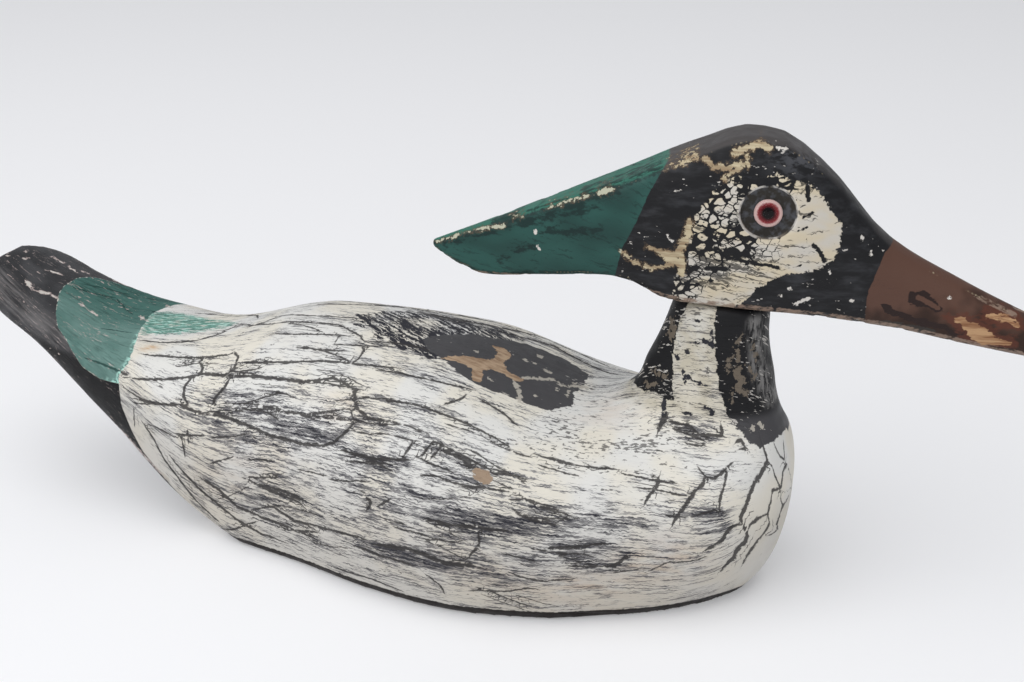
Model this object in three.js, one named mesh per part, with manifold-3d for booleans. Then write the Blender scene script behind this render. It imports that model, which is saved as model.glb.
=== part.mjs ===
// A carved and painted wooden merganser decoy: one block for the body and neck, a head carved
// from a second block and seated on the neck, and a glass eye in a turned recess on each side.
// Millimetres. X points to the bill, Y to the bird's left, Z up. The origin is the middle of the
// flat underside.
import * as THREE from "three";
import { mergeVertices } from "three/addons/utils/BufferGeometryUtils.js";
import Module from "manifold-3d";

// Body: its two ends, and where the breast is furthest forward
const TAIL_TIP_X = -282;
const BREAST_X = 145;
const BREAST_Z = 62;
const BREAST_ROUND = 45;
const KEEL_ROUND = 25;
const CROP_ROUND = 14;
const TAIL_ROUND = 26;
const TAIL_END_SHARE = 0.25;
const BASE_CHAMFER = 2.5;

// Body lines, each as [distance along the bird, size there]
const BACK_Z = [[-282, 125], [-250, 106.5], [-205, 91.5], [-155, 97], [-95, 113.5], [-25, 109],
  [45, 91.5], [85, 89], [110, 91], [145, 94]];
const SHOULDER_Z = [[-282, 116], [-250, 103], [-205, 87], [-155, 60], [-95, 50], [-25, 45],
  [45, 44], [100, 50], [130, 55]];
const KEEL_Z = [[-282, 110.5], [-250, 90], [-205, 53.5], [-155, 14], [-118, 0], [130, 0]];
const HALF_WIDTH = [[-282, 39], [-250, 36], [-205, 42], [-155, 51], [-95, 64], [-45, 79],
  [-5, 85], [45, 76], [85, 62], [110, 54], [145, 49]];

// How square the section is over the body and over the tail, and how far the sides tuck in below
const BODY_ROUNDNESS = 2.2;
const TAIL_ROUNDNESS = 3.2;
const TUCK = [[-155, 0.92], [-95, 0.88], [40, 0.87], [62, 0.82], [80, 0.78], [96, 0.7],
  [113, 0.52], [124, 0.36], [145, 0.2]];
const TAIL_BLEND = [-215, -155];

// Neck: where its post starts above the breast, and how far its flare runs out over the body
const ROOT_Z = 112;
const ROOT_X = 102;
const FLARE_X = 88.5;
const FLARE_FRONT = 55;
const FLARE_BACK = 54;
const FLARE_WIDTH = 46;
const FLARE_EGG = 0.25;
const FLARE_CURVE = 1.7;
const FLARE_SINK = 0.4;

// Neck post from its root to the head's seat: [share of the height, size there]
const POST_CENTRE_X = [[0, 102], [0.5, 104], [1, 107]];
const POST_HALF_LENGTH = [[0, 31], [0.3, 27], [0.6, 24.2], [1, 22]];
const POST_HALF_WIDTH = [[0, 22], [0.4, 20], [1, 19.5]];

// Head: its place, its turn to the bird's left, and the level seat it rests on
const HEAD_X = 103;
const HEAD_Z = 144;
const HEAD_TURN = THREE.MathUtils.degToRad(10.8);
const SEAT_Z = 5.2;
const SEAT_SLOPE = -0.06;
const SEAT_SPAN = [-20, 30];
const SEAT_GAP = 0.3;

// Head lines, each as [distance along the head, size there]
const CREST_TIP = -131;
const BILL_TIP = 176;
const CROWN_Z = [[-131, 24.5], [-110, 33], [-75, 47.5], [-40, 62], [-10, 75.5], [12, 83], [25, 81.3],
  [46, 67], [75, 36.3], [110, 16.8], [176, -13.5]];
const JAW_Z = [[-131, 21.5], [-122, 15], [-106, 9.3], [-75, 12.5], [-45, 15.5], [-28, 9.5], [-20, 6.4],
  [30, 3.4], [75, -3.2], [110, -11], [176, -23]];
const CHEEK = [[-131, 2.5], [-110, 5.5], [-60, 14], [-15, 22], [25, 22.7], [60, 17.5], [90, 12],
  [130, 9], [176, 7]];
const CROWN_SHARE = [[-131, 0.8], [-60, 0.75], [0, 0.55], [40, 0.42], [80, 0.35], [176, 0.35]];
const JAW_SHARE = [[-131, 0.8], [-60, 0.85], [0, 0.85], [80, 0.8], [176, 0.7]];
const CHEEK_LEVEL = 0.5;
const JAW_CHAMFER = 2;
const BILL_ROUND = 12;

// Eyes
const EYE_X = 21;
const EYE_Z = 51.5;
const RECESS_RADIUS = 12;
const RECESS_DEPTH = 3;
const EYE_RADIUS = 6.25;
const EYE_EDGE = 1;
const EYE_DOME = 3;
const EYE_GAP = 0.3;

// Facets of the lofted skins
const BODY_STATIONS = 52;
const BODY_SIDE_STEPS = 7;
const BODY_TOP_STEPS = 10;
const HEAD_STATIONS = 56;
const HEAD_SIDE_STEPS = 8;
const NECK_SIDES = 32;
const FLARE_STEPS = 10;
const POST_STEPS = 6;
const DOME_STEPS = 8;
const END_CROWDING = 0.9;

const wasm = await Module();
wasm.setup();

// A smooth line through [x, value] points, which never swings past them
function line(points) {
  const count = points.length;
  const chord = [];
  for (let i = 0; i < count - 1; i += 1) {
    chord.push((points[i + 1][1] - points[i][1]) / (points[i + 1][0] - points[i][0]));
  }
  const slope = points.map((_, i) => {
    if (i === 0) return chord[0];
    if (i === count - 1) return chord[count - 2];
    const [before, after] = [chord[i - 1], chord[i]];
    return before * after <= 0 ? 0 : (2 * before * after) / (before + after);
  });
  return (x) => {
    const at = THREE.MathUtils.clamp(x, points[0][0], points[count - 1][0]);
    const found = points.findIndex((point) => at <= point[0]);
    const i = Math.max(found - 1, 0);
    const span = points[i + 1][0] - points[i][0];
    const t = (at - points[i][0]) / span;
    const rise = points[i + 1][1] - points[i][1];
    return points[i][1] + t * t * (3 - 2 * t) * rise
      + t * (1 - t) * span * ((1 - t) * slope[i] - t * slope[i + 1]);
  };
}

// Stations between two ends, closer together near both
function stations(from, to, count) {
  const list = [];
  for (let i = 0; i < count; i += 1) {
    const t = i / (count - 1);
    const eased = 0.5 - 0.5 * Math.cos(Math.PI * t);
    list.push(THREE.MathUtils.lerp(from, to, THREE.MathUtils.lerp(t, eased, END_CROWDING)));
  }
  return list;
}

// A closed skin over rings of equal length, with a fan over each end
function loft(rings) {
  const size = rings[0].length;
  const vertices = rings.flat();
  const faces = [];
  for (let i = 0; i < rings.length - 1; i += 1) {
    for (let j = 0; j < size; j += 1) {
      const [a, b] = [i * size + j, i * size + ((j + 1) % size)];
      faces.push(a, b, b + size, a, b + size, a + size);
    }
  }
  for (const [first, reversed] of [[0, true], [(rings.length - 1) * size, false]]) {
    const middle = new THREE.Vector3();
    const ring = vertices.slice(first, first + size);
    ring.forEach((point) => middle.addScaledVector(point, 1 / size));
    vertices.push(middle);
    for (let j = 0; j < size; j += 1) {
      const [a, b] = [first + j, first + ((j + 1) % size)];
      faces.push(...(reversed ? [vertices.length - 1, b, a] : [vertices.length - 1, a, b]));
    }
  }
  const geometry = new THREE.BufferGeometry().setFromPoints(vertices);
  geometry.setIndex(faces);
  return geometry;
}

// Half a section from the middle of its underside up to the crown, doubled over to the other side
function mirrored(half) {
  const other = half.slice(1, -1).reverse().map(([y, z]) => [-y, z]);
  return [...half, ...other];
}

function solid(geometry) {
  const bare = geometry.clone();
  bare.deleteAttribute("normal");
  bare.deleteAttribute("uv");
  const merged = mergeVertices(bare);
  const mesh = new wasm.Mesh({
    numProp: 3,
    vertProperties: new Float32Array(merged.attributes.position.array),
    triVerts: new Uint32Array(merged.index.array),
  });
  return new wasm.Manifold(mesh);
}

function geometryOf(manifold) {
  const mesh = manifold.getMesh();
  const geometry = new THREE.BufferGeometry();
  geometry.setAttribute("position", new THREE.BufferAttribute(mesh.vertProperties, 3));
  geometry.setIndex(new THREE.BufferAttribute(mesh.triVerts, 1));
  geometry.computeVertexNormals();
  return geometry;
}

const [back, shoulder, keel] = [BACK_Z, SHOULDER_Z, KEEL_Z].map(line);
const [bodyWidth, tuck] = [HALF_WIDTH, TUCK].map(line);

// How far a round end has opened at a distance from its tip: 0 at the tip, 1 past the round
function opened(distance, round) {
  const share = Math.min(distance / round, 1);
  return Math.sqrt(1 - (1 - share) ** 2);
}

// Sizes of the body's section at one place along the bird
function bodySection(x) {
  const fromBreast = BREAST_X - x;
  const breast = opened(fromBreast, BREAST_ROUND);
  const tail = opened(x - TAIL_TIP_X, TAIL_ROUND);
  const square = 1 - THREE.MathUtils.smoothstep(x, ...TAIL_BLEND);
  const half = bodyWidth(x) * breast * (TAIL_END_SHARE + (1 - TAIL_END_SHARE) * tail);
  return {
    half,
    foot: half * tuck(x),
    crown: BREAST_Z + (back(x) - BREAST_Z) * opened(fromBreast, CROP_ROUND),
    widest: BREAST_Z + (shoulder(x) - BREAST_Z) * breast,
    bottom: BREAST_Z + (keel(x) - BREAST_Z) * opened(fromBreast, KEEL_ROUND),
    power: 2 / THREE.MathUtils.lerp(BODY_ROUNDNESS, TAIL_ROUNDNESS, square),
  };
}

// Body: a full breast and a flat-topped tail on one flat underside
function bodyLoft() {
  const rings = stations(TAIL_TIP_X + 0.3, BREAST_X - 0.1, BODY_STATIONS).map((x) => {
    const { half, foot, crown, widest, bottom, power } = bodySection(x);
    const chamfer = Math.min(BASE_CHAMFER, foot * 0.3, (widest - bottom) * 0.3);
    const section = [0, 0.5, 1].map((t) => [(foot - chamfer) * t, bottom]);
    for (let i = 0; i <= BODY_SIDE_STEPS; i += 1) {
      const t = i / BODY_SIDE_STEPS;
      section.push([foot + (half - foot) * (1 - (1 - t) ** 2),
        THREE.MathUtils.lerp(bottom + chamfer, widest, t)]);
    }
    for (let i = 1; i <= BODY_TOP_STEPS; i += 1) {
      const angle = (i / BODY_TOP_STEPS) * Math.PI / 2;
      section.push([half * Math.max(Math.cos(angle), 0) ** power,
        widest + (crown - widest) * Math.sin(angle) ** power]);
    }
    section[section.length - 1][0] = 0;
    return mirrored(section).map(([y, z]) => new THREE.Vector3(x, y, z));
  });
  return loft(rings);
}

// Height of the body's upper surface at a place seen from above
function overBody(x, y) {
  const { half, crown, widest, power } = bodySection(x);
  const across = Math.min(Math.abs(y) / half, 1);
  return widest + (crown - widest) * (1 - across ** (2 / power)) ** (power / 2);
}

// Neck: a flare that leaves the body without an edge, and an oval post cut to the head's seat
function neckLoft() {
  const [centre, length, width] = [POST_CENTRE_X, POST_HALF_LENGTH, POST_HALF_WIDTH].map(line);
  const ring = (pointAt) => Array.from({ length: NECK_SIDES }, (_, j) => {
    const angle = (j / NECK_SIDES) * 2 * Math.PI;
    return pointAt(Math.cos(angle), Math.sin(angle));
  });
  const rings = [ring((along, across) => new THREE.Vector3(
    FLARE_X + FLARE_BACK * 0.7 * along, FLARE_WIDTH * 0.4 * across, BREAST_Z))];
  for (let i = FLARE_STEPS; i > 0; i -= 1) {
    const s = i / FLARE_STEPS;
    rings.push(ring((along, across) => {
      const reach = along > 0 ? FLARE_FRONT : FLARE_BACK;
      const root = new THREE.Vector2(ROOT_X + length(0) * along, width(0) * across);
      const edge = new THREE.Vector2(FLARE_X + reach * along,
        FLARE_WIDTH * across * (1 - FLARE_EGG * along));
      const at = root.clone().lerp(edge, s ** FLARE_CURVE);
      const rise = ROOT_Z - overBody(root.x, root.y);
      const z = overBody(at.x, at.y) - FLARE_SINK * s + rise * (1 - s) ** 2;
      return new THREE.Vector3(at.x, at.y, z);
    }));
  }
  const top = HEAD_Z + SEAT_Z - SEAT_GAP;
  for (let i = 0; i <= POST_STEPS; i += 1) {
    const t = i / POST_STEPS;
    rings.push(ring((along, across) => {
      const x = centre(t) + length(t) * along;
      const y = width(t) * across;
      const fromHead = (x - HEAD_X) * Math.cos(HEAD_TURN) + y * Math.sin(HEAD_TURN);
      const level = THREE.MathUtils.lerp(ROOT_Z, top, t);
      return new THREE.Vector3(x, y, level + SEAT_SLOPE * fromHead * t * t);
    }));
  }
  return loft(rings);
}

// Head: a tapered board from the crest's tip to the bill, fullest at the cheeks, flat on its crown
function headLoft() {
  const [crown, jaw, cheek] = [CROWN_Z, JAW_Z, CHEEK].map(line);
  const [crownShare, jawShare] = [CROWN_SHARE, JAW_SHARE].map(line);
  const rings = stations(CREST_TIP, BILL_TIP - 0.1, HEAD_STATIONS).map((x) => {
    const fromBill = Math.min((BILL_TIP - x) / BILL_ROUND, 1);
    const round = Math.sqrt(1 - (1 - fromBill) ** 2);
    const seated = x > SEAT_SPAN[0] && x < SEAT_SPAN[1];
    const under = seated ? SEAT_Z + SEAT_SLOPE * x : jaw(x);
    const middle = (crown(x) + under) / 2;
    const top = middle + (crown(x) - middle) * round;
    const bottom = middle + (under - middle) * round;
    const half = cheek(x) * (0.3 + 0.7 * round);
    const height = top - bottom;
    const chamfer = Math.min(JAW_CHAMFER, half * 0.4, height * 0.2);
    const across = (u) => {
      const share = u < CHEEK_LEVEL ? jawShare(x) : crownShare(x);
      const reach = u < CHEEK_LEVEL ? CHEEK_LEVEL : 1 - CHEEK_LEVEL;
      return half * (1 - (1 - share) * ((u - CHEEK_LEVEL) / reach) ** 2);
    };
    const section = [0, 1].map((t) => [(across(0) - chamfer) * t, bottom]);
    const lift = chamfer / height;
    for (let i = 0; i <= HEAD_SIDE_STEPS; i += 1) {
      const u = THREE.MathUtils.lerp(lift, 1 - lift, i / HEAD_SIDE_STEPS);
      section.push([across(u), bottom + height * u]);
    }
    section.push([Math.max(across(1) - chamfer, 0.4), top - chamfer * 0.15]);
    section.push([0, top]);
    return mirrored(section).map(([y, z]) => new THREE.Vector3(x, y, z));
  });
  return loft(rings);
}

// Flat-bottomed recess turned into one side of the head
function recessCutter(side, cheekAtEye) {
  const floor = cheekAtEye - RECESS_DEPTH;
  const cutter = new THREE.CylinderGeometry(RECESS_RADIUS, RECESS_RADIUS, 20, 40);
  return cutter.translate(0, side * (floor + 10), 0).translate(EYE_X, 0, EYE_Z);
}

// Glass eye: a low dome on a short straight edge
function eyeLathe() {
  const profile = [new THREE.Vector2(0, 0), new THREE.Vector2(EYE_RADIUS, 0)];
  for (let i = 0; i <= DOME_STEPS; i += 1) {
    const angle = (i / DOME_STEPS) * Math.PI / 2;
    profile.push(new THREE.Vector2(EYE_RADIUS * Math.cos(angle),
      EYE_EDGE + EYE_DOME * Math.sin(angle)));
  }
  profile[profile.length - 1].x = 0;
  return new THREE.LatheGeometry(profile, 32);
}

function mesh(name, geometry, colour, roughness) {
  const made = new THREE.Mesh(geometry, new THREE.MeshStandardMaterial({ color: colour, roughness }));
  made.name = name;
  return made;
}

const decoy = new THREE.Group();
const body = solid(bodyLoft()).add(solid(neckLoft()));
decoy.add(mesh("body", geometryOf(body), 0xd8d4c8, 0.6));

const headGroup = new THREE.Group();
headGroup.position.set(HEAD_X, 0, HEAD_Z);
headGroup.rotation.z = HEAD_TURN;
const cheekAtEye = line(CHEEK)(EYE_X);
let head = solid(headLoft());
for (const side of [-1, 1]) {
  head = head.subtract(solid(recessCutter(side, cheekAtEye)));
}
headGroup.add(mesh("head", geometryOf(head), 0x2b3030, 0.55));
for (const [name, side] of [["eye_right", -1], ["eye_left", 1]]) {
  const eye = mesh(name, eyeLathe(), 0x8a1f22, 0.1);
  eye.rotation.x = side > 0 ? 0 : Math.PI;
  eye.position.set(EYE_X, side * (cheekAtEye - RECESS_DEPTH + EYE_GAP), EYE_Z);
  headGroup.add(eye);
}
decoy.add(headGroup);

export default decoy;
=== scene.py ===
"""A carved and painted merganser decoy on a plain pale floor. Metres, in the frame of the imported
model: X to the bill, Y to the bird's left, Z up. Paint outlines are in millimetres."""

import math
import random

import bmesh
import bpy
import numpy as np
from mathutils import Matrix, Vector, kdtree, noise
from mathutils.bvhtree import BVHTree


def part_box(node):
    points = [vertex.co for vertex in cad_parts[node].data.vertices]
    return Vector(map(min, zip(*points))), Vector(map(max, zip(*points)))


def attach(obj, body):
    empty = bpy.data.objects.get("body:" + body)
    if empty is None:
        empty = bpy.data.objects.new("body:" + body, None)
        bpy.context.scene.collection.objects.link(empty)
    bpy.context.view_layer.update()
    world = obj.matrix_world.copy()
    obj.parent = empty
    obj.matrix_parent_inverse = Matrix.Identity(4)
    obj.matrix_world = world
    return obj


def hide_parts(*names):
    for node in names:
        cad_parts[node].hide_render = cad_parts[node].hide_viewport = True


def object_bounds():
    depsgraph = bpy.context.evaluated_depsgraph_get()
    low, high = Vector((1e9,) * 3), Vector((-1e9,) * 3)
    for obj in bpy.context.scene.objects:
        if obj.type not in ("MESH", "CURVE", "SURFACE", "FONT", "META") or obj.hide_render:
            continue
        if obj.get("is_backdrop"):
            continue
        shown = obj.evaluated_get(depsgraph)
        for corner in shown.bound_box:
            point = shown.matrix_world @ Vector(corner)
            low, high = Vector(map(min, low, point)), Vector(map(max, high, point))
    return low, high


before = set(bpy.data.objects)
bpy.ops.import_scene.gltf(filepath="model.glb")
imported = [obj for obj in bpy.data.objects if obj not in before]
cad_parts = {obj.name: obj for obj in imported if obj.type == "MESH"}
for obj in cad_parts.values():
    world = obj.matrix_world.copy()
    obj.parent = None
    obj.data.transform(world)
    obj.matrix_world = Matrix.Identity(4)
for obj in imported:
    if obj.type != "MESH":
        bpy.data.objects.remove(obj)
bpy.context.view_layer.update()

# Body. One block of softwood carries the body, the upswept tail and the neck, shaped with a
# drawknife and sanded. It was painted black, then white over the black with a nearly dry brush. The
# white has shrunk into plates over the rump and worn off in strokes along the grain of the sides.
MM = 0.001
DOUBLES = 0.01 * MM
BODY_SQUARE = 1.5 * MM
BODY_SANDING = 20
FOOT_SANDING = 3
FOOT_HEIGHT = 3.0 * MM
FOOT_FACE = 0.3 * MM
NECK_FOOT_Z = 96.0
NECK_BACK_X = 52.0
NECK_STRIPE_X = 99.0
UNDER_HEIGHT = 1.5
FAR_AWAY = 30.0
CRACK_REACH = 12.0
CRACK_TAPER = 0.7


def new_object(name, data):
    """An object that shows in the scene."""
    made = bpy.data.objects.new(name, data)
    bpy.context.scene.collection.objects.link(made)
    return made


def merged(node):
    """A CAD piece with its loose triangles joined, as a bmesh."""
    solid = bmesh.new()
    solid.from_mesh(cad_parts[node].data)
    bmesh.ops.remove_doubles(solid, verts=solid.verts, dist=DOUBLES)
    return solid


def even_skin(node, name, square):
    """A copy of a CAD piece, remade as one fine and even skin."""
    piece = new_object(name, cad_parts[node].data.copy())
    solid = merged(node)
    solid.to_mesh(piece.data)
    solid.free()
    remesh = piece.modifiers.new("even skin", "REMESH")
    remesh.mode = "VOXEL"
    remesh.voxel_size = square
    drawn = piece.evaluated_get(bpy.context.evaluated_depsgraph_get())
    fine = bpy.data.meshes.new_from_object(drawn)
    piece.modifiers.clear()
    piece.data = fine
    fine.name = name
    fine.materials.clear()
    fine.shade_smooth()
    return piece


def sand(piece, rounds, held):
    """Rubs a skin smooth. Points for which held() is true keep their edge."""
    skin = bmesh.new()
    skin.from_mesh(piece.data)
    loose = [point for point in skin.verts if not held(point.co)]
    for _ in range(rounds):
        bmesh.ops.smooth_vert(skin, verts=loose, factor=0.5,
                              use_axis_x=True, use_axis_y=True, use_axis_z=True)
    skin.to_mesh(piece.data)
    skin.free()


def triples(source, field):
    """A vector for each item of a mesh, as the rows of an array."""
    flat = np.empty(len(source) * 3, np.float32)
    source.foreach_get(field, flat)
    return flat.reshape(-1, 3).astype(float)


def points_of(mesh):
    """The points of a mesh in millimetres."""
    return triples(mesh.vertices, "co") / MM


def normals_of(mesh):
    return triples(mesh.vertex_normals, "vector")


def press(piece, depth):
    """Moves every point of a skin in along its normal by its own depth."""
    moved = points_of(piece.data) - normals_of(piece.data) * depth[:, None]
    piece.data.vertices.foreach_set("co", (moved * MM).astype(np.float32).ravel())
    piece.data.update()


def mark(piece, name, values):
    """Keeps a number or a vector for each point of the skin, for the paint to read."""
    kind, field = ("FLOAT", "value") if values.ndim == 1 else ("FLOAT_VECTOR", "vector")
    kept = piece.data.attributes.new(name, kind, "POINT")
    kept.data.foreach_set(field, values.astype(np.float32).ravel())


def smooth_step(value, low, high):
    share = np.clip((value - low) / (high - low), 0, 1)
    return share * share * (3 - 2 * share)


def swells(places, marks):
    """Soft swells added up, each with its centre, its size along and across, and its strength."""
    total = np.zeros(len(places))
    for centre, size, strength in marks:
        off = (places - np.array(centre, float)) / np.array(size, float)
        total += strength * np.exp(-(off ** 2).sum(1))
    return total


def from_sides(places, starts, ends):
    """Millimetres from each place to the nearest of some straight sides."""
    nearest = np.full(len(places), np.inf)
    for start, end in zip(starts, ends):
        side = end - start
        off = places - start
        share = np.clip(off @ side / (side @ side), 0, 1)
        nearest = np.minimum(nearest, np.hypot(*(off - share[:, None] * side).T))
    return nearest


def inside(places, outline):
    """Millimetres inside a closed outline, negative outside it."""
    starts = np.array(outline, float)
    ends = np.roll(starts, -1, axis=0)
    crossings = np.zeros(len(places), int)
    for start, end in zip(starts, ends):
        if start[1] != end[1]:
            level = start[0] + (places[:, 1] - start[1]) / (end[1] - start[1]) * (end[0] - start[0])
            between = (start[1] > places[:, 1]) != (end[1] > places[:, 1])
            crossings += between & (places[:, 0] < level)
    nearest = from_sides(places, starts, ends)
    return np.where(crossings % 2 == 1, nearest, -nearest)


def near(places, *marks):
    """Millimetres inside the nearest of some strokes, each a path and a half width."""
    found = []
    for path, half_width in marks:
        corners = np.array(path, float)
        found.append(half_width - from_sides(places, corners[:-1], corners[1:]))
    return np.max(found, axis=0)


def run_along(corners):
    """Lengths along a path from its start to each of its corners."""
    steps = np.hypot(*np.diff(corners, axis=0).T)
    return np.concatenate([[0], np.cumsum(steps)])


def crack_field(places, cracks):
    """For each place, its nearest crack: millimetres to one side of it, distance, and half width."""
    nearest = np.full(len(places), FAR_AWAY)
    across = np.full(len(places), FAR_AWAY)
    half = np.zeros(len(places))
    for path, width in cracks:
        corners = np.array(path, float)
        run = run_along(corners)
        low, high = corners.min(0) - CRACK_REACH, corners.max(0) + CRACK_REACH
        close = np.where(((places > low) & (places < high)).all(1))[0]
        for i in range(len(corners) - 1):
            side = corners[i + 1] - corners[i]
            off = places[close] - corners[i]
            share = np.clip(off @ side / (side @ side), 0, 1)
            reach = np.hypot(*(off - share[:, None] * side).T)
            closer = reach < nearest[close]
            chosen = close[closer]
            nearest[chosen] = reach[closer]
            turn = side[0] * off[closer, 1] - side[1] * off[closer, 0]
            across[chosen] = reach[closer] * np.where(turn < 0, -1, 1)
            along = (run[i] + (run[i + 1] - run[i]) * share[closer]) / run[-1]
            half[chosen] = width * (1 - CRACK_TAPER * (2 * along - 1) ** 6)
    return across, nearest, half


def evened(values, rounds):
    """Values for stations along the bird, each averaged with its neighbours."""
    values = np.array(values, float)
    for _ in range(rounds):
        values[1:-1] = (values[:-2] + 2 * values[1:-1] + values[2:]) / 4
    return values


class Girth:
    """Distances round the body from the middle of its back, read off sections of the CAD solid."""

    STATIONS = 60
    TURNS = 90
    END_GAP = 2.0
    SLAB = 8.0
    FOOT_EDGE = 2.6
    NECK_X = 20.0
    RAY_GAP = 1e-6

    def __init__(self, mesh):
        tree = BVHTree.FromPolygons([point.co.copy() for point in mesh.vertices],
                                    [tuple(face.vertices) for face in mesh.polygons])
        solid = points_of(mesh)
        ends = solid[:, 0].min() + self.END_GAP, solid[:, 0].max() - self.END_GAP
        self.x = np.linspace(*ends, self.STATIONS)
        slabs = [solid[np.abs(solid[:, 0] - x) < self.SLAB][:, 2] for x in self.x]
        tops = [min(slab.max(), NECK_FOOT_Z) if x > self.NECK_X else slab.max()
                for x, slab in zip(self.x, slabs)]
        self.core = evened([(slab.min() + top) / 2 for slab, top in zip(slabs, tops)], 6)
        arcs, feet, widths = [], [], []
        for x, core in zip(self.x, self.core):
            outline = np.array([self.hit(tree, x, core, turn)
                                for turn in np.linspace(0, math.pi, self.TURNS + 1)])
            arc = run_along(outline)
            bottom = outline[:, 1].min() + self.FOOT_EDGE
            last = np.where(outline[:, 1] < bottom)[0][0]
            part = (outline[last - 1, 1] - bottom) / (outline[last - 1, 1] - outline[last, 1])
            arcs.append(arc)
            feet.append(arc[last - 1] + part * (arc[last] - arc[last - 1]))
            widths.append(outline[:, 0].max())
        self.arc, self.foot = evened(arcs, 3), evened(feet, 6)
        front = run_along(np.stack([self.x, widths], axis=1))
        self.length = front - np.interp(0, self.x, front)

    def hit(self, tree, x, core, turn):
        """The outermost point of a section at one turn from straight up, across and up."""
        way = Vector((0, -math.sin(turn), math.cos(turn)))
        start = Vector((x, 0, core)) * MM
        reach = 0.0
        while True:
            found, _, _, step = tree.ray_cast(start + way * reach, way)
            if found is None:
                break
            reach += step + self.RAY_GAP
        y, z = reach / MM * math.sin(turn), core + reach / MM * math.cos(turn)
        if x > self.NECK_X and z > NECK_FOOT_Z:
            shrink = (NECK_FOOT_Z - core) / (z - core)
            y, z = y * shrink, NECK_FOOT_Z
        return y, z

    def along(self, x):
        """Length along the bird, running on round the breast and past the tail's end."""
        return np.interp(x, self.x, self.length) + np.minimum(x - self.x[0], 0)

    def read(self, places):
        """Distance from the back's middle line, and the same distance at the lower edge."""
        index = np.interp(places[:, 0], self.x, np.arange(len(self.x)))
        first = np.minimum(index.astype(int), len(self.x) - 2)
        share = index - first
        core = np.interp(places[:, 0], self.x, self.core)
        turn = np.arctan2(np.abs(places[:, 1]), places[:, 2] - core) / math.pi * self.TURNS
        step = np.minimum(turn.astype(int), self.TURNS - 1)
        part = turn - step
        near = self.arc[first, step] * (1 - part) + self.arc[first, step + 1] * part
        far = self.arc[first + 1, step] * (1 - part) + self.arc[first + 1, step + 1] * part
        return near * (1 - share) + far * share, np.interp(places[:, 0], self.x, self.foot)


# Paint outlines on the body, as [x, distance round it from the middle of the back], which is negative
# on the left
TAIL_BLACK = [[-300, 260], [-150, 260], [-150, 125], [-166, 104], [-181, 88], [-186, 77], [-190, 63],
              [-190, 51], [-202, 52], [-213, 49], [-224, 37], [-232, 31], [-239, 21], [-243, 13],
              [-247, 5], [-249, -3], [-249, -16], [-245, -24], [-239, -29], [-224, -38], [-213, -48],
              [-202, -52], [-190, -51], [-190, -64], [-187, -76], [-182, -88], [-166, -104],
              [-150, -125], [-150, -260], [-300, -260]]
TEAL_BAND = [[-260, 20], [-260, 40], [-230, 60], [-190, 60], [-190, 46], [-187, 39], [-189, 30],
             [-195, 15], [-199, 5], [-201, -4], [-204, -13], [-203, -21], [-200, -31], [-195, -40],
             [-190, -52], [-190, -60], [-230, -60], [-260, -40]]
TEAL_SCUMBLE = [[-206, -16], [-197, -20], [-187, -19], [-173, -14], [-156, -7], [-146, -2], [-150, 3],
                [-171, 8], [-184, 11], [-194, 12], [-200, 5]]
BACK_PATCH = [[-39, 9], [-29, 0], [-19, -8], [-8, -13], [-1, -18], [6, -22], [15, -23], [24, -23],
              [33, -19], [40, -15], [40, -6], [41, 0], [39, 9], [42, 20], [38, 23], [32, 30], [23, 30],
              [10, 30], [4, 32], [-2, 32], [-6, 31], [-13, 28], [-18, 25], [-24, 22], [-33, 17]]
BACK_MIX = [[-80, 4], [-66, 13], [-46, 21], [-28, 24], [-12, 20], [-8, -2], [4, -26], [-18, -30],
            [-46, -24], [-68, -12]]
BARE_BACK = [[-24, 22], [-20, 18], [-11, 13], [-5, 11], [-2, 7], [-3, 0], [-6, -3], [-9, -4], [-1, -6],
             [4, -2], [3, 7], [7, 13], [17, 13], [13, 18], [6, 16], [0, 17], [-3, 20], [-1, 30],
             [-5, 30], [-8, 22], [-15, 21]]
# The grey band on the tail's top, partly rubbed paint and partly painted sheen
SCRAPE_AND_SHEEN = ([[-272, 22], [-262, 28], [-250, 32], [-240, 34], [-229, 37]], 6.0)
BROWN_SPOT = [15, 77]
BROWN_SPOT_SIZE = [4.6, 3.1]
STAINS = [([66, 115], [16, 6], 0.8), ([88, 100], [14, 8], 0.7), ([21, 118], [8, 4], 0.5),
          ([104, 92], [14, 12], 0.45), ([-182, 26], [4, 3], 1.8), ([-60, 64], [12, 8], 0.3),
          ([-120, 100], [40, 20], 0.2), ([60, 20], [22, 14], 0.25), ([40, 128], [60, 14], 0.35)]

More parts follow.
